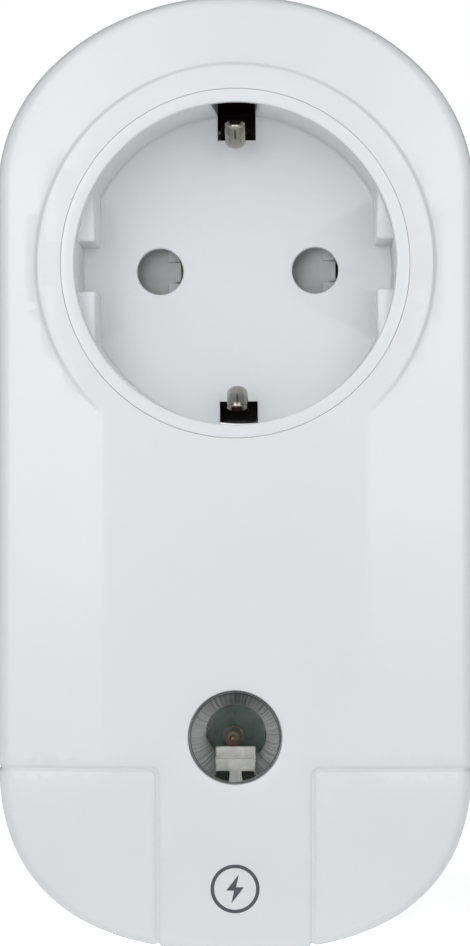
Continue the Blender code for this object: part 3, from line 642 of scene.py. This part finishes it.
def guide_block(sx, sz):
    """One of the four guide blocks, which leave a slot between them at each side of the recess."""
    reach = RECESS_RADIUS + 0.2
    arc = ring_points(reach, 10, 0, 0, degrees(asin(SLOT_HALF_WIDTH / reach)),
                      degrees(acos(GUIDE_X / reach)))
    corners = [(sx * x, GUIDE_Y, sz * z) for x, z in [(GUIDE_X, SLOT_HALF_WIDTH)] + arc]
    guide = prism(bmesh.new(), corners, (0, FLOOR_Y + 0.3 - GUIDE_Y, 0))
    bmesh.ops.recalc_face_normals(guide, faces=guide.faces[:])

    def level(edge, axis, value):
        return all(abs(abs(v.co[axis]) - abs(value)) < 1e-4 for v in edge.verts)

    def is_rounded(edge):
        free = all(hypot(v.co.x, v.co.z) < reach - 0.02 for v in edge.verts)
        on_slot = level(edge, 0, GUIDE_X) or level(edge, 2, SLOT_HALF_WIDTH)
        return edge.calc_face_angle() > radians(40) and free or level(edge, 1, GUIDE_Y) and on_slot

    bmesh.ops.bevel(guide, geom=[e for e in guide.edges if is_rounded(e)], offset=0.28, segments=4,
                    profile=0.5,
                    affect="EDGES", clamp_overlap=True)
    return guide


def shutter_plate():
    """Shutter seen through the pin holes: a ramp that ends in a raised bar, with lands beside it."""
    low, high = box_mm("shutter")
    top = low.y
    back = high.y
    clear = top - 1.0
    base = block((low.x, high.x), (top + 0.6, back), (-3.9, 3.9))
    block((-9.4, 7.8), (top + 0.6, back), (3.5, high.z), base)
    operations = []
    for x in (-PIN_X, PIN_X):
        operations.append(("UNION", block((x - 3.0, x + 2.5), (top, back - 0.3), (-3.2, 3.2))))
        ramp = [(x - 3.4, top + 1.7), (x + 0.95, top + 0.5), (x + 0.95, clear), (x - 3.4, clear)]
        channel = [(x + 0.5, top + 0.62), (x + 1.85, top + 0.34), (x + 1.85, clear), (x + 0.5, clear)]
        for line, half in ((ramp, 3.0), (channel, 1.35)):
            cutter = prism(bmesh.new(), [(px, py, -half) for px, py in line], (0, 0, 2 * half))
            operations.append(("DIFFERENCE", cutter))
        slits = bmesh.new()
        for sign in (-1, 1):
            block((x + 1.78, x + 2.6), (clear, top + 0.5), (sign * 1.16, sign * 1.36), slits)
        operations.append(("DIFFERENCE", slits))
        gap = block((x + 2.5, x + PIN_HOLE_RADIUS), (clear, back + 1.0), (-2.0, 2.0))
        operations.append(("DIFFERENCE", gap))
    openings = block((0.9, 6.2), (top - 2, back + 2), (-3.1, 3.1))
    block((-8.1, 6.5), (top - 2, back + 2), (5.75, 8.25), openings)
    operations.append(("DIFFERENCE", openings))
    return combine("shutter_plate", base, operations, 30)


def strip(name, path, section, sign, smooth_angle):
    """Bent strip along a path of (y, z) points; section(i) gives its (x, lift) outline at point i."""
    bm = bmesh.new()
    rings = []
    for i, (y, z) in enumerate(path):
        a, b = path[max(i - 1, 0)], path[min(i + 1, len(path) - 1)]
        along = Vector((0.0, b[0] - a[0], b[1] - a[1])).normalized()
        outward = Vector((0.0, along.z, -along.y))
        points = [Vector((x, y, z)) + outward * lift for x, lift in section(i)]
        rings.append([bm.verts.new((p.x, p.y, sign * p.z)) for p in points])
    bridge(bm, rings)
    bm.faces.new(rings[0])
    bm.faces.new(rings[-1])
    return mesh_object(name, close_up(bm), smooth_angle)


def clip_strip(name, sign):
    """Sprung earth strip: a channel-shaped spring, its convex side towards the socket's axis."""
    path = catmull([(-30.5, 17.25), (-36.0, 16.95), (-39.5, 16.2), (-42.5, 14.95), (-45.0, 14.35),
                    (-47.0, 15.1),
                    (-48.45, 16.2), (-48.75, 16.75), (-48.3, 17.3)], 8)
    half, sag, thick, across = 1.2, 0.6, 0.3, 14

    def section(i):
        crown = sag * smooth_step((i - 4) / 14) * (1 - 0.25 * smooth_step((i - len(path) + 6) / 6))
        points = []
        for side in (-1, 1):
            for k in range(across + 1):
                t = (2 * k / across - 1) * -side
                lift = crown * (t * t + 0.12 * (1 - t * t) ** 4) + side * thick / 2 * (1 - 0.55 * t ** 8)
                points.append((half * t, lift))
        return points

    return strip(name, path, section, sign, 50)


def clip_shade_sheet(name, sign):
    """Dark channel that an earth strip stands in, seen through its window, as painted shade: a long back and
    an end wall.
    """
    section = [(-51.2, 20.9), (-51.2, 21.9), (-19.1, 21.9), (-19.1, 18.8), (-19.9, 18.8), (-19.9, 20.9)]
    bm = prism(bmesh.new(), [(-3.3, y, sign * z) for y, z in section], (6.6, 0, 0))
    return mesh_object(name, close_up(bevelled(bm, 0.15)), 30)


def catmull(points, steps):
    """A smooth path through 2D points."""
    def between(a, b, c, d, t):
        square, cube = 2 * a - 5 * b + 4 * c - d, 3 * b - a - 3 * c + d
        return 0.5 * (2 * b + (c - a) * t + square * t * t + cube * t ** 3)

    padded = [points[0]] + list(points) + [points[-1]]
    path = []
    for corners in zip(padded, padded[1:], padded[2:], padded[3:]):
        for i in range(steps):
            path.append(tuple(between(*values, i / steps) for values in zip(*corners)))
    return path + [points[-1]]


# Button

def clear_cap():
    """Clear dome with a hollow back and the flange that holds it in."""
    front = CAP_LOW.y
    back = CAP_HIGH.y
    flange_y = back - 1.0
    radius = 5.26
    profile = rounded([
        (0.0, front, 0), (3.2, front + 0.10, 3.0), (4.75, front + 0.3, 0.9), (radius, front + 0.75, 0.35),
        (radius, flange_y, 0), (6.6, flange_y, 0.1), (6.6, back, 0.1), (5.42, back, 0.05),
        (5.38, front + 1.35, 0.4),
        (3.8, front + 1.05, 2.0), (0.0, front + 0.95, 0),
    ], 6)
    bm = lathe(bmesh.new(), profile, 128, 0.0, BUTTON_Z)
    return mesh_object("clear_cap", close_up(bm), 40)


def reflector():
    """Grey funnel that stands on the board around the lamp, open below for the cap's arm."""
    base_y = box_mm("light_shroud")[1].y
    profile = rounded([
        (3.5, -46.8, 0.3), (5.2, -49.5, 0), (5.32, -49.5, 0), (5.34, -49.2, 0), (5.5, -49.2, 0),
        (5.52, -49.6, 0),
        (5.82, -49.6, 0), (5.82, -49.0, 0), (5.4, -48.9, 0), (4.0, -46.9, 0), (4.0, base_y, 0),
        (3.5, base_y, 0), (3.5, -46.8, 0),
    ])
    base = lathe(bmesh.new(), profile, 128, 0.0, BUTTON_Z, closed=True)
    notch = block((-2.3, 2.3), (-50.5, -46.4), (BUTTON_Z - 5.0, BUTTON_Z - 1.0))
    return combine("reflector", base, [("DIFFERENCE", notch)], 35)


def lamp():
    """Round lamp: a clear body with a collar, and a small eye at its tip."""
    profile = rounded([
        (0.0, -48.7, 0), (0.18, -48.66, 0), (0.22, -48.52, 0), (0.36, -48.6, 0), (0.42, -48.5, 0),
        (0.8, -48.35, 0.3),
        (1.06, -47.9, 0.3), (1.06, -44.0, 0), (1.26, -44.0, 0.1), (1.26, -43.0, 0.1), (1.06, -43.0, 0),
        (1.06, -42.35, 0), (0.0, -42.35, 0),
    ])
    bm = lathe(bmesh.new(), profile, 64, *LAMP)
    return mesh_object("lamp", close_up(bm), 35)


def push_arm():
    """T-shaped arm behind the cap, with a step across its head and a foot over the switch."""
    low, high = box_mm("switch_plunger")
    front = low.y
    head = bevelled(block((-2.35, 2.35), (front + 0.02, front + 0.98), (-60.25, -58.7)), 0.12)
    step = bevelled(block((-2.35, 2.35), (front + 0.3, front + 0.95), (-58.8, -57.3)), 0.12)
    stem = bevelled(block((-0.72, 0.72), (front + 0.15, front + 0.9), (low.z + 0.02, -59.3)), 0.1)
    foot = lathe(bmesh.new(),
                 [(0.0, front + 0.3), (1.45, front + 0.3), (1.45, high.y - 0.05), (0.0, high.y - 0.05)],
                 32, 0.0, low.z + 1.5)
    return combine("push_arm", head, [("UNION", shape) for shape in (step, stem, foot)], 30)


def printed_mark():
    """Generic print low on the front: a ring around a zigzag bolt."""
    radii = (MARK_RADIUS, MARK_RADIUS - MARK_LINE)
    outer, inner = (ring_points(radius, 72, 0.0, MARK_Z) for radius in radii)
    half_bolt = [(0.45, 1.75), (-1.05, -0.2), (-0.12, -0.2)]
    bolt = [(sign * x, MARK_Z + sign * z) for sign in (1, -1) for x, z in half_bolt]
    bm = bmesh.new()

    def raised(outline, lift):
        return [bm.verts.new((x, front_height(x, z)[0] - lift, z)) for x, z in outline]

    front, back = raised(outer, MARK_LIFT), raised(outer, -MARK_LIFT)
    bridge(bm, [front, back, raised(inner, -MARK_LIFT), raised(inner, MARK_LIFT), front])
    front, back = raised(bolt, MARK_LIFT), raised(bolt, -MARK_LIFT)
    bridge(bm, [front, back])
    bm.faces.new(front)
    bm.faces.new(back[::-1])
    return mesh_object("printed_mark", close_up(bm), 40)


# Plug

def plug_body():
    """The plug's body: round, with flats and ribs at its sides and earth grooves above and below."""
    radius, flat, rib_half, groove_z, groove_half = 18.5, 16.2, 2.5, 16.1, 3.0
    rib = sqrt(radius ** 2 - rib_half ** 2)
    quarter = [(rib, rib_half), (flat, rib_half)]
    quarter += ring_points(radius, 40, 0, 0, degrees(acos(flat / radius)),
                           degrees(acos(groove_half / radius)))
    quarter += [(groove_half, groove_z)]
    upper = quarter + [(-x, z) for x, z in quarter[::-1]]
    plan = upper + [(x, -z) for x, z in upper[::-1]]
    base = prism(bmesh.new(), [(x, BACK_Y - 1.0, z) for x, z in plan], (0, 1.0 - BACK_Y, 0))
    bevelled(base, 0.35, 3, 25)
    shoulder = lathe(bmesh.new(), rounded([
        (0.0, BACK_Y - 3.0, 0), (radius, BACK_Y - 3.0, 0), (radius, BACK_Y + 0.25, 0.25),
        (0.0, BACK_Y + 0.25, 0),
    ]), 160)
    cutters = bmesh.new()
    pin_well = [(0.0, -1.6), (2.75, -1.6), (2.75, -0.25), (3.0, 0.0), (3.0, 1.0), (0.0, 1.0)]
    for sign in (-1, 1):
        lathe(cutters, pin_well, 48, sign * PIN_X)
    return combine("plug_body", base, [("UNION", shoulder), ("DIFFERENCE", cutters)], 30)


def pin(name):
    """A solid pin with a rounded end."""
    tip = box_mm(name)[1].y
    profile = rounded([
        (0.0, tip, 0), (1.1, tip, 0.6), (2.4, tip - 1.5, 1.6), (2.4, 0.0, 0), (2.4, -3.0, 0), (3.4, -3.0, 0),
        (3.4, -4.4, 0), (1.8, -4.4, 0), (1.8, -9.0, 0), (0.0, -9.0, 0),
    ], 6)
    bm = lathe(bmesh.new(), profile, 64, middle(name)[0])
    return mesh_object(name + "_turned", close_up(bm), 40)


def side_contact(name, sign):
    """Bowed earth strip in the plug's groove."""
    path = catmull([(-1.7, 16.75), (-4.5, 17.4), (-8.5, 17.85), (-13.0, 17.1), (-15.5, 16.75)], 8)
    corners = [(-1.95, -0.3), (1.95, -0.3), (1.95, 0.12), (1.78, 0.3), (-1.78, 0.3), (-1.95, 0.12)]
    return strip(name + "_strip", path, lambda i: corners, sign, 30)


def screw(name):
    """Pan-head screw with a cross recess."""
    low, high = box_mm(name)
    x, z = middle(name)
    seat = high.y - 1.8
    profile = rounded([
        (0.0, high.y, 0), (1.7, high.y - 0.1, 0.8), (2.5, seat + 0.5, 0.6), (2.5, seat, 0), (1.3, seat, 0),
        (1.3, low.y + 1.0, 0), (0.0, low.y, 0),
    ])
    base = lathe(bmesh.new(), profile, 40, x, z)
    cross = []
    for turn in (radians(35), radians(125)):
        slot = block((-1.35, 1.35), (high.y - 0.9, high.y + 1.0), (-0.24, 0.24))
        cross.append(("DIFFERENCE", spin(slot, turn, x, z)))
    return combine(name + "_head", base, cross)


# Materials

class Tree:
    """A small helper around a node tree."""

    def __init__(self, tree):
        self.tree = tree

    def add(self, kind, **values):
        node = self.tree.nodes.new(kind)
        for key, value in values.items():
            if key in node.inputs:
                node.inputs[key].default_value = value
            else:
                setattr(node, key, value)
        return node

    def link(self, source, target):
        self.tree.links.new(source, target)

    def math(self, operation, *values):
        """A math node over sockets and numbers."""
        node = self.add("ShaderNodeMath", operation=operation)
        for socket, value in zip(node.inputs, values):
            if isinstance(value, bpy.types.NodeSocket):
                self.link(value, socket)
            else:
                socket.default_value = value
        return node.outputs["Value"]

    def axes(self, vector):
        node = self.add("ShaderNodeSeparateXYZ")
        self.link(vector, node.inputs["Vector"])
        return [node.outputs[axis] for axis in "XYZ"]

    def spread(self, value, low, high, start=0.3, end=0.7, kind="LINEAR"):
        """Takes a value from start and end to low and high."""
        node = self.add("ShaderNodeMapRange", interpolation_type=kind)
        for name, number in (("From Min", start), ("From Max", end), ("To Min", low), ("To Max", high)):
            node.inputs[name].default_value = number
        self.link(value, node.inputs["Value"])
        return node.outputs["Result"]


class Nodes(Tree):
    """A material's nodes around its shader."""

    def __init__(self, name):
        self.material = bpy.data.materials.new(name)
        self.material.use_nodes = True
        super().__init__(self.material.node_tree)
        self.shader = self.tree.nodes["Principled BSDF"]

    def set(self, **values):
        """Set the shader's own sockets to numbers and colours, or link them to other nodes."""
        for key, value in values.items():
            socket = self.shader.inputs[key.replace("_", " ")]
            if isinstance(value, bpy.types.NodeSocket):
                self.link(value, socket)
            else:
                socket.default_value = value

    def coordinates(self, scale=(1.0, 1.0, 1.0), **values):
        mapping = self.add("ShaderNodeMapping", Scale=scale, **values)
        self.link(self.add("ShaderNodeTexCoord").outputs["Object"], mapping.inputs["Vector"])
        return mapping.outputs["Vector"]

    def noise(self, vector, scale, detail=3.0, roughness=0.5):
        node = self.add("ShaderNodeTexNoise", Scale=scale, Detail=detail, Roughness=roughness)
        self.link(vector, node.inputs["Vector"])
        return node.outputs["Fac"]

    def mix(self, factor, first, second):
        node = self.add("ShaderNodeMix", data_type="RGBA")
        for name, value in (("A", first), ("B", second)):
            if isinstance(value, bpy.types.NodeSocket):
                self.link(value, node.inputs[name])
            else:
                node.inputs[name].default_value = (*value, 1.0)
        self.link(factor, node.inputs["Factor"])
        return node.outputs["Result"]

    def bump(self, height, strength, distance):
        node = self.add("ShaderNodeBump", Strength=strength, Distance=distance)
        self.link(height, node.inputs["Height"])
        self.link(node.outputs["Normal"], self.shader.inputs["Normal"])


def white_plastic(name, light, dark, roughness=0.24):
    """Glossy moulded plastic: faint cloudiness, fine orange peel and slightly uneven gloss."""
    made = Nodes(name)
    place = made.coordinates()
    made.set(
        Base_Color=made.mix(made.spread(made.noise(place, 45.0, 1.0), 0.0, 1.0, 0.2, 0.8), light, dark),
        Roughness=made.spread(made.noise(place, 90.0, 2.0), roughness - 0.02, roughness + 0.02, 0.2, 0.8),
        Specular_IOR_Level=0.5, IOR=1.5, Coat_Weight=0.1, Coat_Roughness=0.15,
    )
    made.bump(made.noise(place, 900.0, 1.0), 0.02, 0.00002)
    return made.material


def metal(name, light, dark, roughness=0.28, grain=(40.0, 900.0, 40.0), grain_depth=0.12):
    """Drawn or stamped metal: fine grain in one direction and patchy polish."""
    made = Nodes(name)
    patchy = made.noise(made.coordinates(), 300.0, 3.0)
    made.set(
        Base_Color=made.mix(made.spread(patchy, 0.0, 1.0), light, dark),
        Roughness=made.spread(patchy, roughness - 0.06, roughness + 0.1),
        Metallic=1.0,
    )
    made.bump(made.noise(made.coordinates(grain), 30.0, 4.0), grain_depth, 0.00005)
    return made.material


def moulded(name, light, dark, roughness=0.45, speckle=900.0, depth=0.15, sheen=0.0):
    """Matt moulded or cast plastic with a fine spark texture."""
    made = Nodes(name)
    place = made.coordinates()
    made.set(
        Base_Color=made.mix(made.spread(made.noise(place, speckle, 4.0), 0.0, 1.0), light, dark),
        Roughness=made.spread(made.noise(place, speckle * 0.4, 3.0), roughness - 0.08, roughness + 0.1),
        Coat_Weight=sheen, Coat_Roughness=0.2,
    )
    made.bump(made.noise(place, speckle * 2.2, 3.0), depth, 0.00006)
    return made.material


def clear_plastic(name):
    """Clear plastic with faint flow lines and slightly uneven polish."""
    made = Nodes(name)
    flow = made.noise(made.coordinates((1.0, 0.2, 1.0)), 260.0, 3.0)
    made.set(
        Base_Color=made.mix(made.spread(flow, 0.0, 1.0), (0.97, 0.98, 0.97), (0.93, 0.95, 0.94)),
        Roughness=made.spread(flow, 0.02, 0.07),
        Transmission_Weight=1.0, IOR=1.22, Specular_IOR_Level=0.5,
    )
    made.bump(flow, 0.05, 0.00005)
    return made.material


def lamp_resin(name):
    """Milky lamp resin, pink-brown at its lower left and olive at its upper right."""
    made = Nodes(name)
    place = made.coordinates()
    cloud = made.noise(place, 700.0, 3.0)
    x, _, z = made.axes(place)
    centre = (LAMP[0] + LAMP[1]) * MM
    side = made.spread(made.math("ADD", x, z), 0.0, 1.0, centre - 0.0010, centre + 0.0014)
    shade = made.math("MULTIPLY_ADD", cloud, 0.25, side)
    made.set(
        Base_Color=made.mix(shade, (0.20, 0.095, 0.075), (0.11, 0.105, 0.055)),
        Roughness=made.spread(cloud, 0.12, 0.24),
        Transmission_Weight=0.15, IOR=1.5, Subsurface_Weight=0.15, Subsurface_Scale=0.0008,
    )
    made.bump(cloud, 0.08, 0.00005)
    return made.material


def reflector_grey(name):
    """Silvery moulded plastic with fine radial streaks, and painted highlights that make it lighter at both
    sides.
    """
    made = Nodes(name)
    swap = made.add("ShaderNodeMapping", Rotation=(radians(90), 0.0, 0.0))
    made.link(made.coordinates(Location=(0.0, 0.0, -BUTTON_Z * MM)), swap.inputs["Vector"])
    turned = made.add("ShaderNodeTexGradient", gradient_type="RADIAL")
    made.link(swap.outputs["Vector"], turned.inputs["Vector"])
    noise = made.add("ShaderNodeTexNoise", noise_dimensions="1D", Scale=90.0, Detail=4.0, Roughness=0.7)
    made.link(turned.outputs["Fac"], noise.inputs["W"])
    streaks = noise.outputs["Fac"]
    # Painted highlight: the base colour is made lighter at left and right of the funnel and darker at top
    # and bottom.
    sides = made.math("COSINE", made.math("MULTIPLY", turned.outputs["Fac"], 4 * pi))
    streaks_and_painted_highlight = made.math("MULTIPLY_ADD", sides, 0.42, made.spread(streaks, 0.1, 0.95))
    made.set(
        Base_Color=made.mix(streaks_and_painted_highlight, (0.13, 0.135, 0.14), (1.0, 1.0, 0.99)),
        Roughness=made.spread(streaks, 0.3, 0.5),
    )
    made.bump(streaks, 0.3, 0.0001)
    return made.material


def circuit_board(name):
    """Green solder mask over blocky copper traces, with small tinned pads."""
    made = Nodes(name)
    place = made.coordinates((1.0, 0.0, 1.0))
    cells = made.add("ShaderNodeTexVoronoi", Scale=420.0, distance="MANHATTAN")
    spots = made.add("ShaderNodeTexVoronoi", Scale=230.0)
    for texture in (cells, spots):
        made.link(place, texture.inputs["Vector"])
    traces = made.spread(cells.outputs["Distance"], 0.0, 1.0, 0.40, 0.46)
    pads = made.spread(spots.outputs["Distance"], 1.0, 0.0, 0.13, 0.16)
    mask = made.mix(traces, (0.008, 0.045, 0.035), (0.02, 0.085, 0.06))
    made.set(
        Base_Color=made.mix(pads, mask, (0.62, 0.62, 0.58)),
        Roughness=made.spread(made.noise(place, 900.0), 0.2, 0.4),
        Metallic=pads,
    )
    made.bump(traces, 0.4, 0.00004)
    return made.material


def striped_insulation(name):
    """Green insulation with yellow stripes."""
    made = Nodes(name)
    bands = made.add("ShaderNodeTexWave", Scale=85.0, Distortion=0.6, Detail=1.0)
    place = made.coordinates()
    made.link(place, bands.inputs["Vector"])
    stripes = made.spread(bands.outputs["Fac"], 0.0, 1.0, 0.55, 0.62)
    made.set(
        Base_Color=made.mix(stripes, (0.02, 0.22, 0.05), (0.75, 0.62, 0.03)),
        Roughness=made.spread(made.noise(place, 900.0), 0.3, 0.5),
    )
    made.bump(made.noise(place, 1500.0), 0.1, 0.00005)
    return made.material


FINISHES = {
    # slot: builder, light and dark colour, roughness and texture
    "housing_white": (white_plastic, (0.80, 0.81, 0.815), (0.77, 0.78, 0.79)),
    "socket_white": (white_plastic, (0.80, 0.82, 0.83), (0.775, 0.795, 0.81), 0.22),
    "shutter_grey": (moulded, (0.43, 0.45, 0.44), (0.38, 0.40, 0.39), 0.4, 700.0, 0.08, 0.1),
    "spring_steel": (metal, (0.60, 0.59, 0.57), (0.45, 0.44, 0.42), 0.26),
    # carrier_dark is near-black dark red: painted shade on the parts deep inside the socket.
    "carrier_dark": (moulded, (0.075, 0.007, 0.014), (0.006, 0.004, 0.004), 0.5, 160.0),
    # blackened_steel is near-black: painted shade on a part that lies in shadow behind the clip windows.
    "blackened_steel": (metal, (0.025, 0.022, 0.021), (0.014, 0.013, 0.012), 0.5),
    "brass": (metal, (0.83, 0.62, 0.28), (0.68, 0.48, 0.20), 0.28),
    "nickel": (metal, (0.42, 0.40, 0.365), (0.31, 0.295, 0.26), 0.17, (40.0, 900.0, 40.0), 0.05),
    "clear_cap": (clear_plastic,),
    "arm_white": (moulded, (0.74, 0.72, 0.69), (0.44, 0.42, 0.41), 0.28, 800.0, 1.0, 0.3),
    "component_black": (moulded, (0.022, 0.022, 0.024), (0.012, 0.012, 0.013), 0.42),
    "lamp_pink": (lamp_resin,),
    "shroud_grey": (reflector_grey,),
    "board_green": (circuit_board,),
    "capacitor_ochre": (moulded, (0.62, 0.40, 0.08), (0.52, 0.32, 0.05), 0.35, 500.0, 0.1, 0.3),
    "capacitor_sleeve": (moulded, (0.03, 0.04, 0.07), (0.02, 0.025, 0.05), 0.3, 500.0, 0.06, 0.4),
    "component_blue": (moulded, (0.05, 0.16, 0.42), (0.03, 0.11, 0.32), 0.3, 500.0, 0.08, 0.4),
    "component_brown": (moulded, (0.20, 0.10, 0.05), (0.14, 0.07, 0.035), 0.4, 700.0, 0.1, 0.1),
    "copper": (metal, (0.86, 0.45, 0.29), (0.72, 0.34, 0.20), 0.25),
    "shield": (metal, (0.68, 0.69, 0.70), (0.55, 0.56, 0.57), 0.33, (300.0, 40.0, 40.0)),
    "earth_green_yellow": (striped_insulation,),
    "print_grey": (moulded, (0.075, 0.085, 0.095), (0.06, 0.07, 0.08), 0.4, 900.0, 0.05),
    "screw_steel": (metal, (0.52, 0.52, 0.50), (0.38, 0.38, 0.36), 0.3, (200.0, 200.0, 200.0)),
}


def dress(obj, made):
    """Give a piece its only material."""
    obj.data.materials.clear()
    obj.data.materials.append(made)


# Scene: floor, light and camera

RIM_TO_CAMERA = 443.0
CAMERA_X = 8.4
CAMERA_Z = -24.77
LENS = 142.9
ROOM_LOW = 0.03
ROOM_HIGH = 0.08
ROOM_COLOUR = (0.975, 0.985, 1.0, 1.0)
FRONT_GLOW = 1.18
BOX_INNER = (0.06, 0.15)
BOX_OUTER = (0.26, 0.40)
BOX_LEFT = 5.3
BOX_RIGHT = 4.0
BOX_TOP = 0.46
# Floor glow: painted light from below, dimmed in a painted soft shadow in front of the object.
FLOOR_SHADE = (35.0, 25.0, 180.0)
FLOOR_NEAR_GLOW = (0.185, 0.485)
FLOOR_GLOW = 0.78
FLOOR_HALF = 1500.0


def camera():
    data = bpy.data.cameras.new("camera")
    data.lens = LENS
    data.sensor_width = 36.0
    data.clip_start = 0.01
    data.clip_end = 20.0
    obj = bpy.data.objects.new("camera", data)
    bpy.context.scene.collection.objects.link(obj)
    obj.location = Vector((CAMERA_X, FRONT_Y - RIM_TO_CAMERA, CAMERA_Z)) * MM
    yaw = atan2(CAMERA_X, RIM_TO_CAMERA)
    obj.rotation_euler = (radians(90), 0, yaw)
    bpy.context.scene.camera = obj


def room_light(room):
    """Strength of the room's light by direction: a broad glow in front and a soft box on each side."""
    def ramp(value, start, end, low, high):
        return room.spread(value, low, high, start, end, "SMOOTHSTEP")

    x, y, z = room.axes(room.add("ShaderNodeTexCoord").outputs["Generated"])
    sideways = room.math("ABSOLUTE", x)
    box = room.math("MULTIPLY", ramp(sideways, *BOX_INNER, 0.0, 1.0), ramp(sideways, *BOX_OUTER, 1.0, 0.0))
    box = room.math("MULTIPLY", box, ramp(y, -0.3, 0.0, 1.0, 0.0))
    box = room.math("MULTIPLY", box, ramp(z, -0.05, 0.16, 1.0, BOX_TOP))
    box = room.math("MULTIPLY", box, ramp(x, -0.2, 0.2, BOX_LEFT, BOX_RIGHT))
    front = room.math("MULTIPLY", ramp(y, -1.0, -0.5, FRONT_GLOW, 0.0), ramp(z, 0.1, 0.5, 1.0, 0.3))
    base = ramp(z, -0.6, 0.8, ROOM_LOW, ROOM_HIGH)
    return room.math("ADD", room.math("ADD", box, front), base)


def studio():
    """The room's light, with a white backdrop behind the object, and the floor."""
    world = bpy.data.worlds.new("studio")
    bpy.context.scene.world = world
    world.use_nodes = True
    room = Tree(world.node_tree)
    light = room.tree.nodes["Background"]
    light.inputs["Color"].default_value = ROOM_COLOUR
    room.link(room_light(room), light.inputs["Strength"])
    backdrop = room.add("ShaderNodeBackground", Color=(1.0, 1.0, 1.0, 1.0))
    choose = room.add("ShaderNodeMixShader")
    room.link(room.add("ShaderNodeLightPath").outputs["Is Camera Ray"], choose.inputs["Fac"])
    room.link(light.outputs["Background"], choose.inputs[1])
    room.link(backdrop.outputs["Background"], choose.inputs[2])
    room.link(choose.outputs["Shader"], room.tree.nodes["World Output"].inputs["Surface"])
    bpy.context.scene.view_settings.view_transform = "Standard"
    bm = bmesh.new()
    bmesh.ops.create_grid(bm, x_segments=1, y_segments=1, size=FLOOR_HALF)
    bmesh.ops.translate(bm, verts=bm.verts[:], vec=(0, 0, BOTTOM_Z - 0.3))
    floor = mesh_object("floor", bm)
    dress(floor, floor_finish())


def floor_finish():
    """Pale floor that glows as painted light, less so around a point in front of the object, where the
    dimmer glow is a painted soft shadow.
    """
    made = Nodes("floor_pale")
    ahead, near, far = (length * MM for length in FLOOR_SHADE)
    place = made.coordinates(Location=(0.0, ahead - FRONT_Y * MM, 0.0))
    reach = made.add("ShaderNodeVectorMath", operation="LENGTH")
    made.link(place, reach.inputs[0])
    # Painted soft shadow: the floor glows less near the object's front.
    shade = made.spread(reach.outputs["Value"], *FLOOR_NEAR_GLOW, near, far)
    behind = made.spread(made.axes(place)[1], 0.0, FLOOR_GLOW, ahead + 1 * MM, ahead + 11 * MM)
    made.set(
        Base_Color=(0.8, 0.8, 0.8, 1.0), Roughness=0.8, Emission_Color=(1.0, 1.0, 1.0, 1.0),
        Emission_Strength=made.math("MAXIMUM", shade, behind),
    )
    return made.material


SOCKET_PIECES = (socket_cup, shutter_plate, clip_strip, clip_shade_sheet)
SIDES = (("upper", 1), ("lower", -1))
PIECES = [
    # builder, its arguments, body it rides on, slot, CAD nodes it stands for
    (front_shell, (), "housing", "housing_white", ("front_housing",)),
    (rear_shell, (), "housing", "housing_white", ("rear_housing",)),
    (socket_cup, (), "housing", "socket_white", ("socket_insert",)),
    (shutter_plate, (), "shutter_slide", "shutter_grey", ("shutter",)),
]
for side, sign in SIDES:
    PIECES.append((clip_strip, (f"{side}_strip", sign), f"{side}_clip", "nickel", (f"earth_clip_{side}",)))
# Dark sheets behind the clip windows, in the carrier's near-black: painted shade.
PIECES += [(clip_shade_sheet, (f"{side}_pocket", sign), "housing", "carrier_dark", ()) for side, sign in SIDES]
PIECES += [
    (clear_cap, (), "button", "clear_cap", ("button_cap",)),
    (push_arm, (), "button", "arm_white", ("switch_plunger",)),
    (reflector, (), "housing", "shroud_grey", ("light_shroud",)),
    (lamp, (), "housing", "lamp_pink", ("status_led",)),
    (plug_body, (), "housing", "socket_white", ("plug_base",)),
    (printed_mark, (), "housing", None, ()),
]
PIECES += [(pin, (name,), "housing", "nickel", (name,)) for name in ("plug_pin_live", "plug_pin_neutral")]
for side, sign in SIDES:
    contact = f"plug_earth_contact_{side}"
    PIECES.append((side_contact, (contact, sign), "housing", "nickel", (contact,)))
PIECES += [(screw, (name,), "housing", "screw_steel", (name,)) for name in SCREW_NAMES]


def main():
    made = {name: build(name, *values) for name, (build, *values) in FINISHES.items()}
    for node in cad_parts.values():
        for slot in node.material_slots:
            slot.material = made[slot.material.name]
    for build, arguments, body, slot, nodes in PIECES:
        piece = build(*arguments)
        if build in SOCKET_PIECES:
            piece.data.transform(Matrix.Rotation(SOCKET_TURN, 4, "Y"))
        dress(piece, made[slot or "print_grey"])
        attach(piece, body)
        if nodes:
            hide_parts(*nodes)
    camera()
    studio()


main()
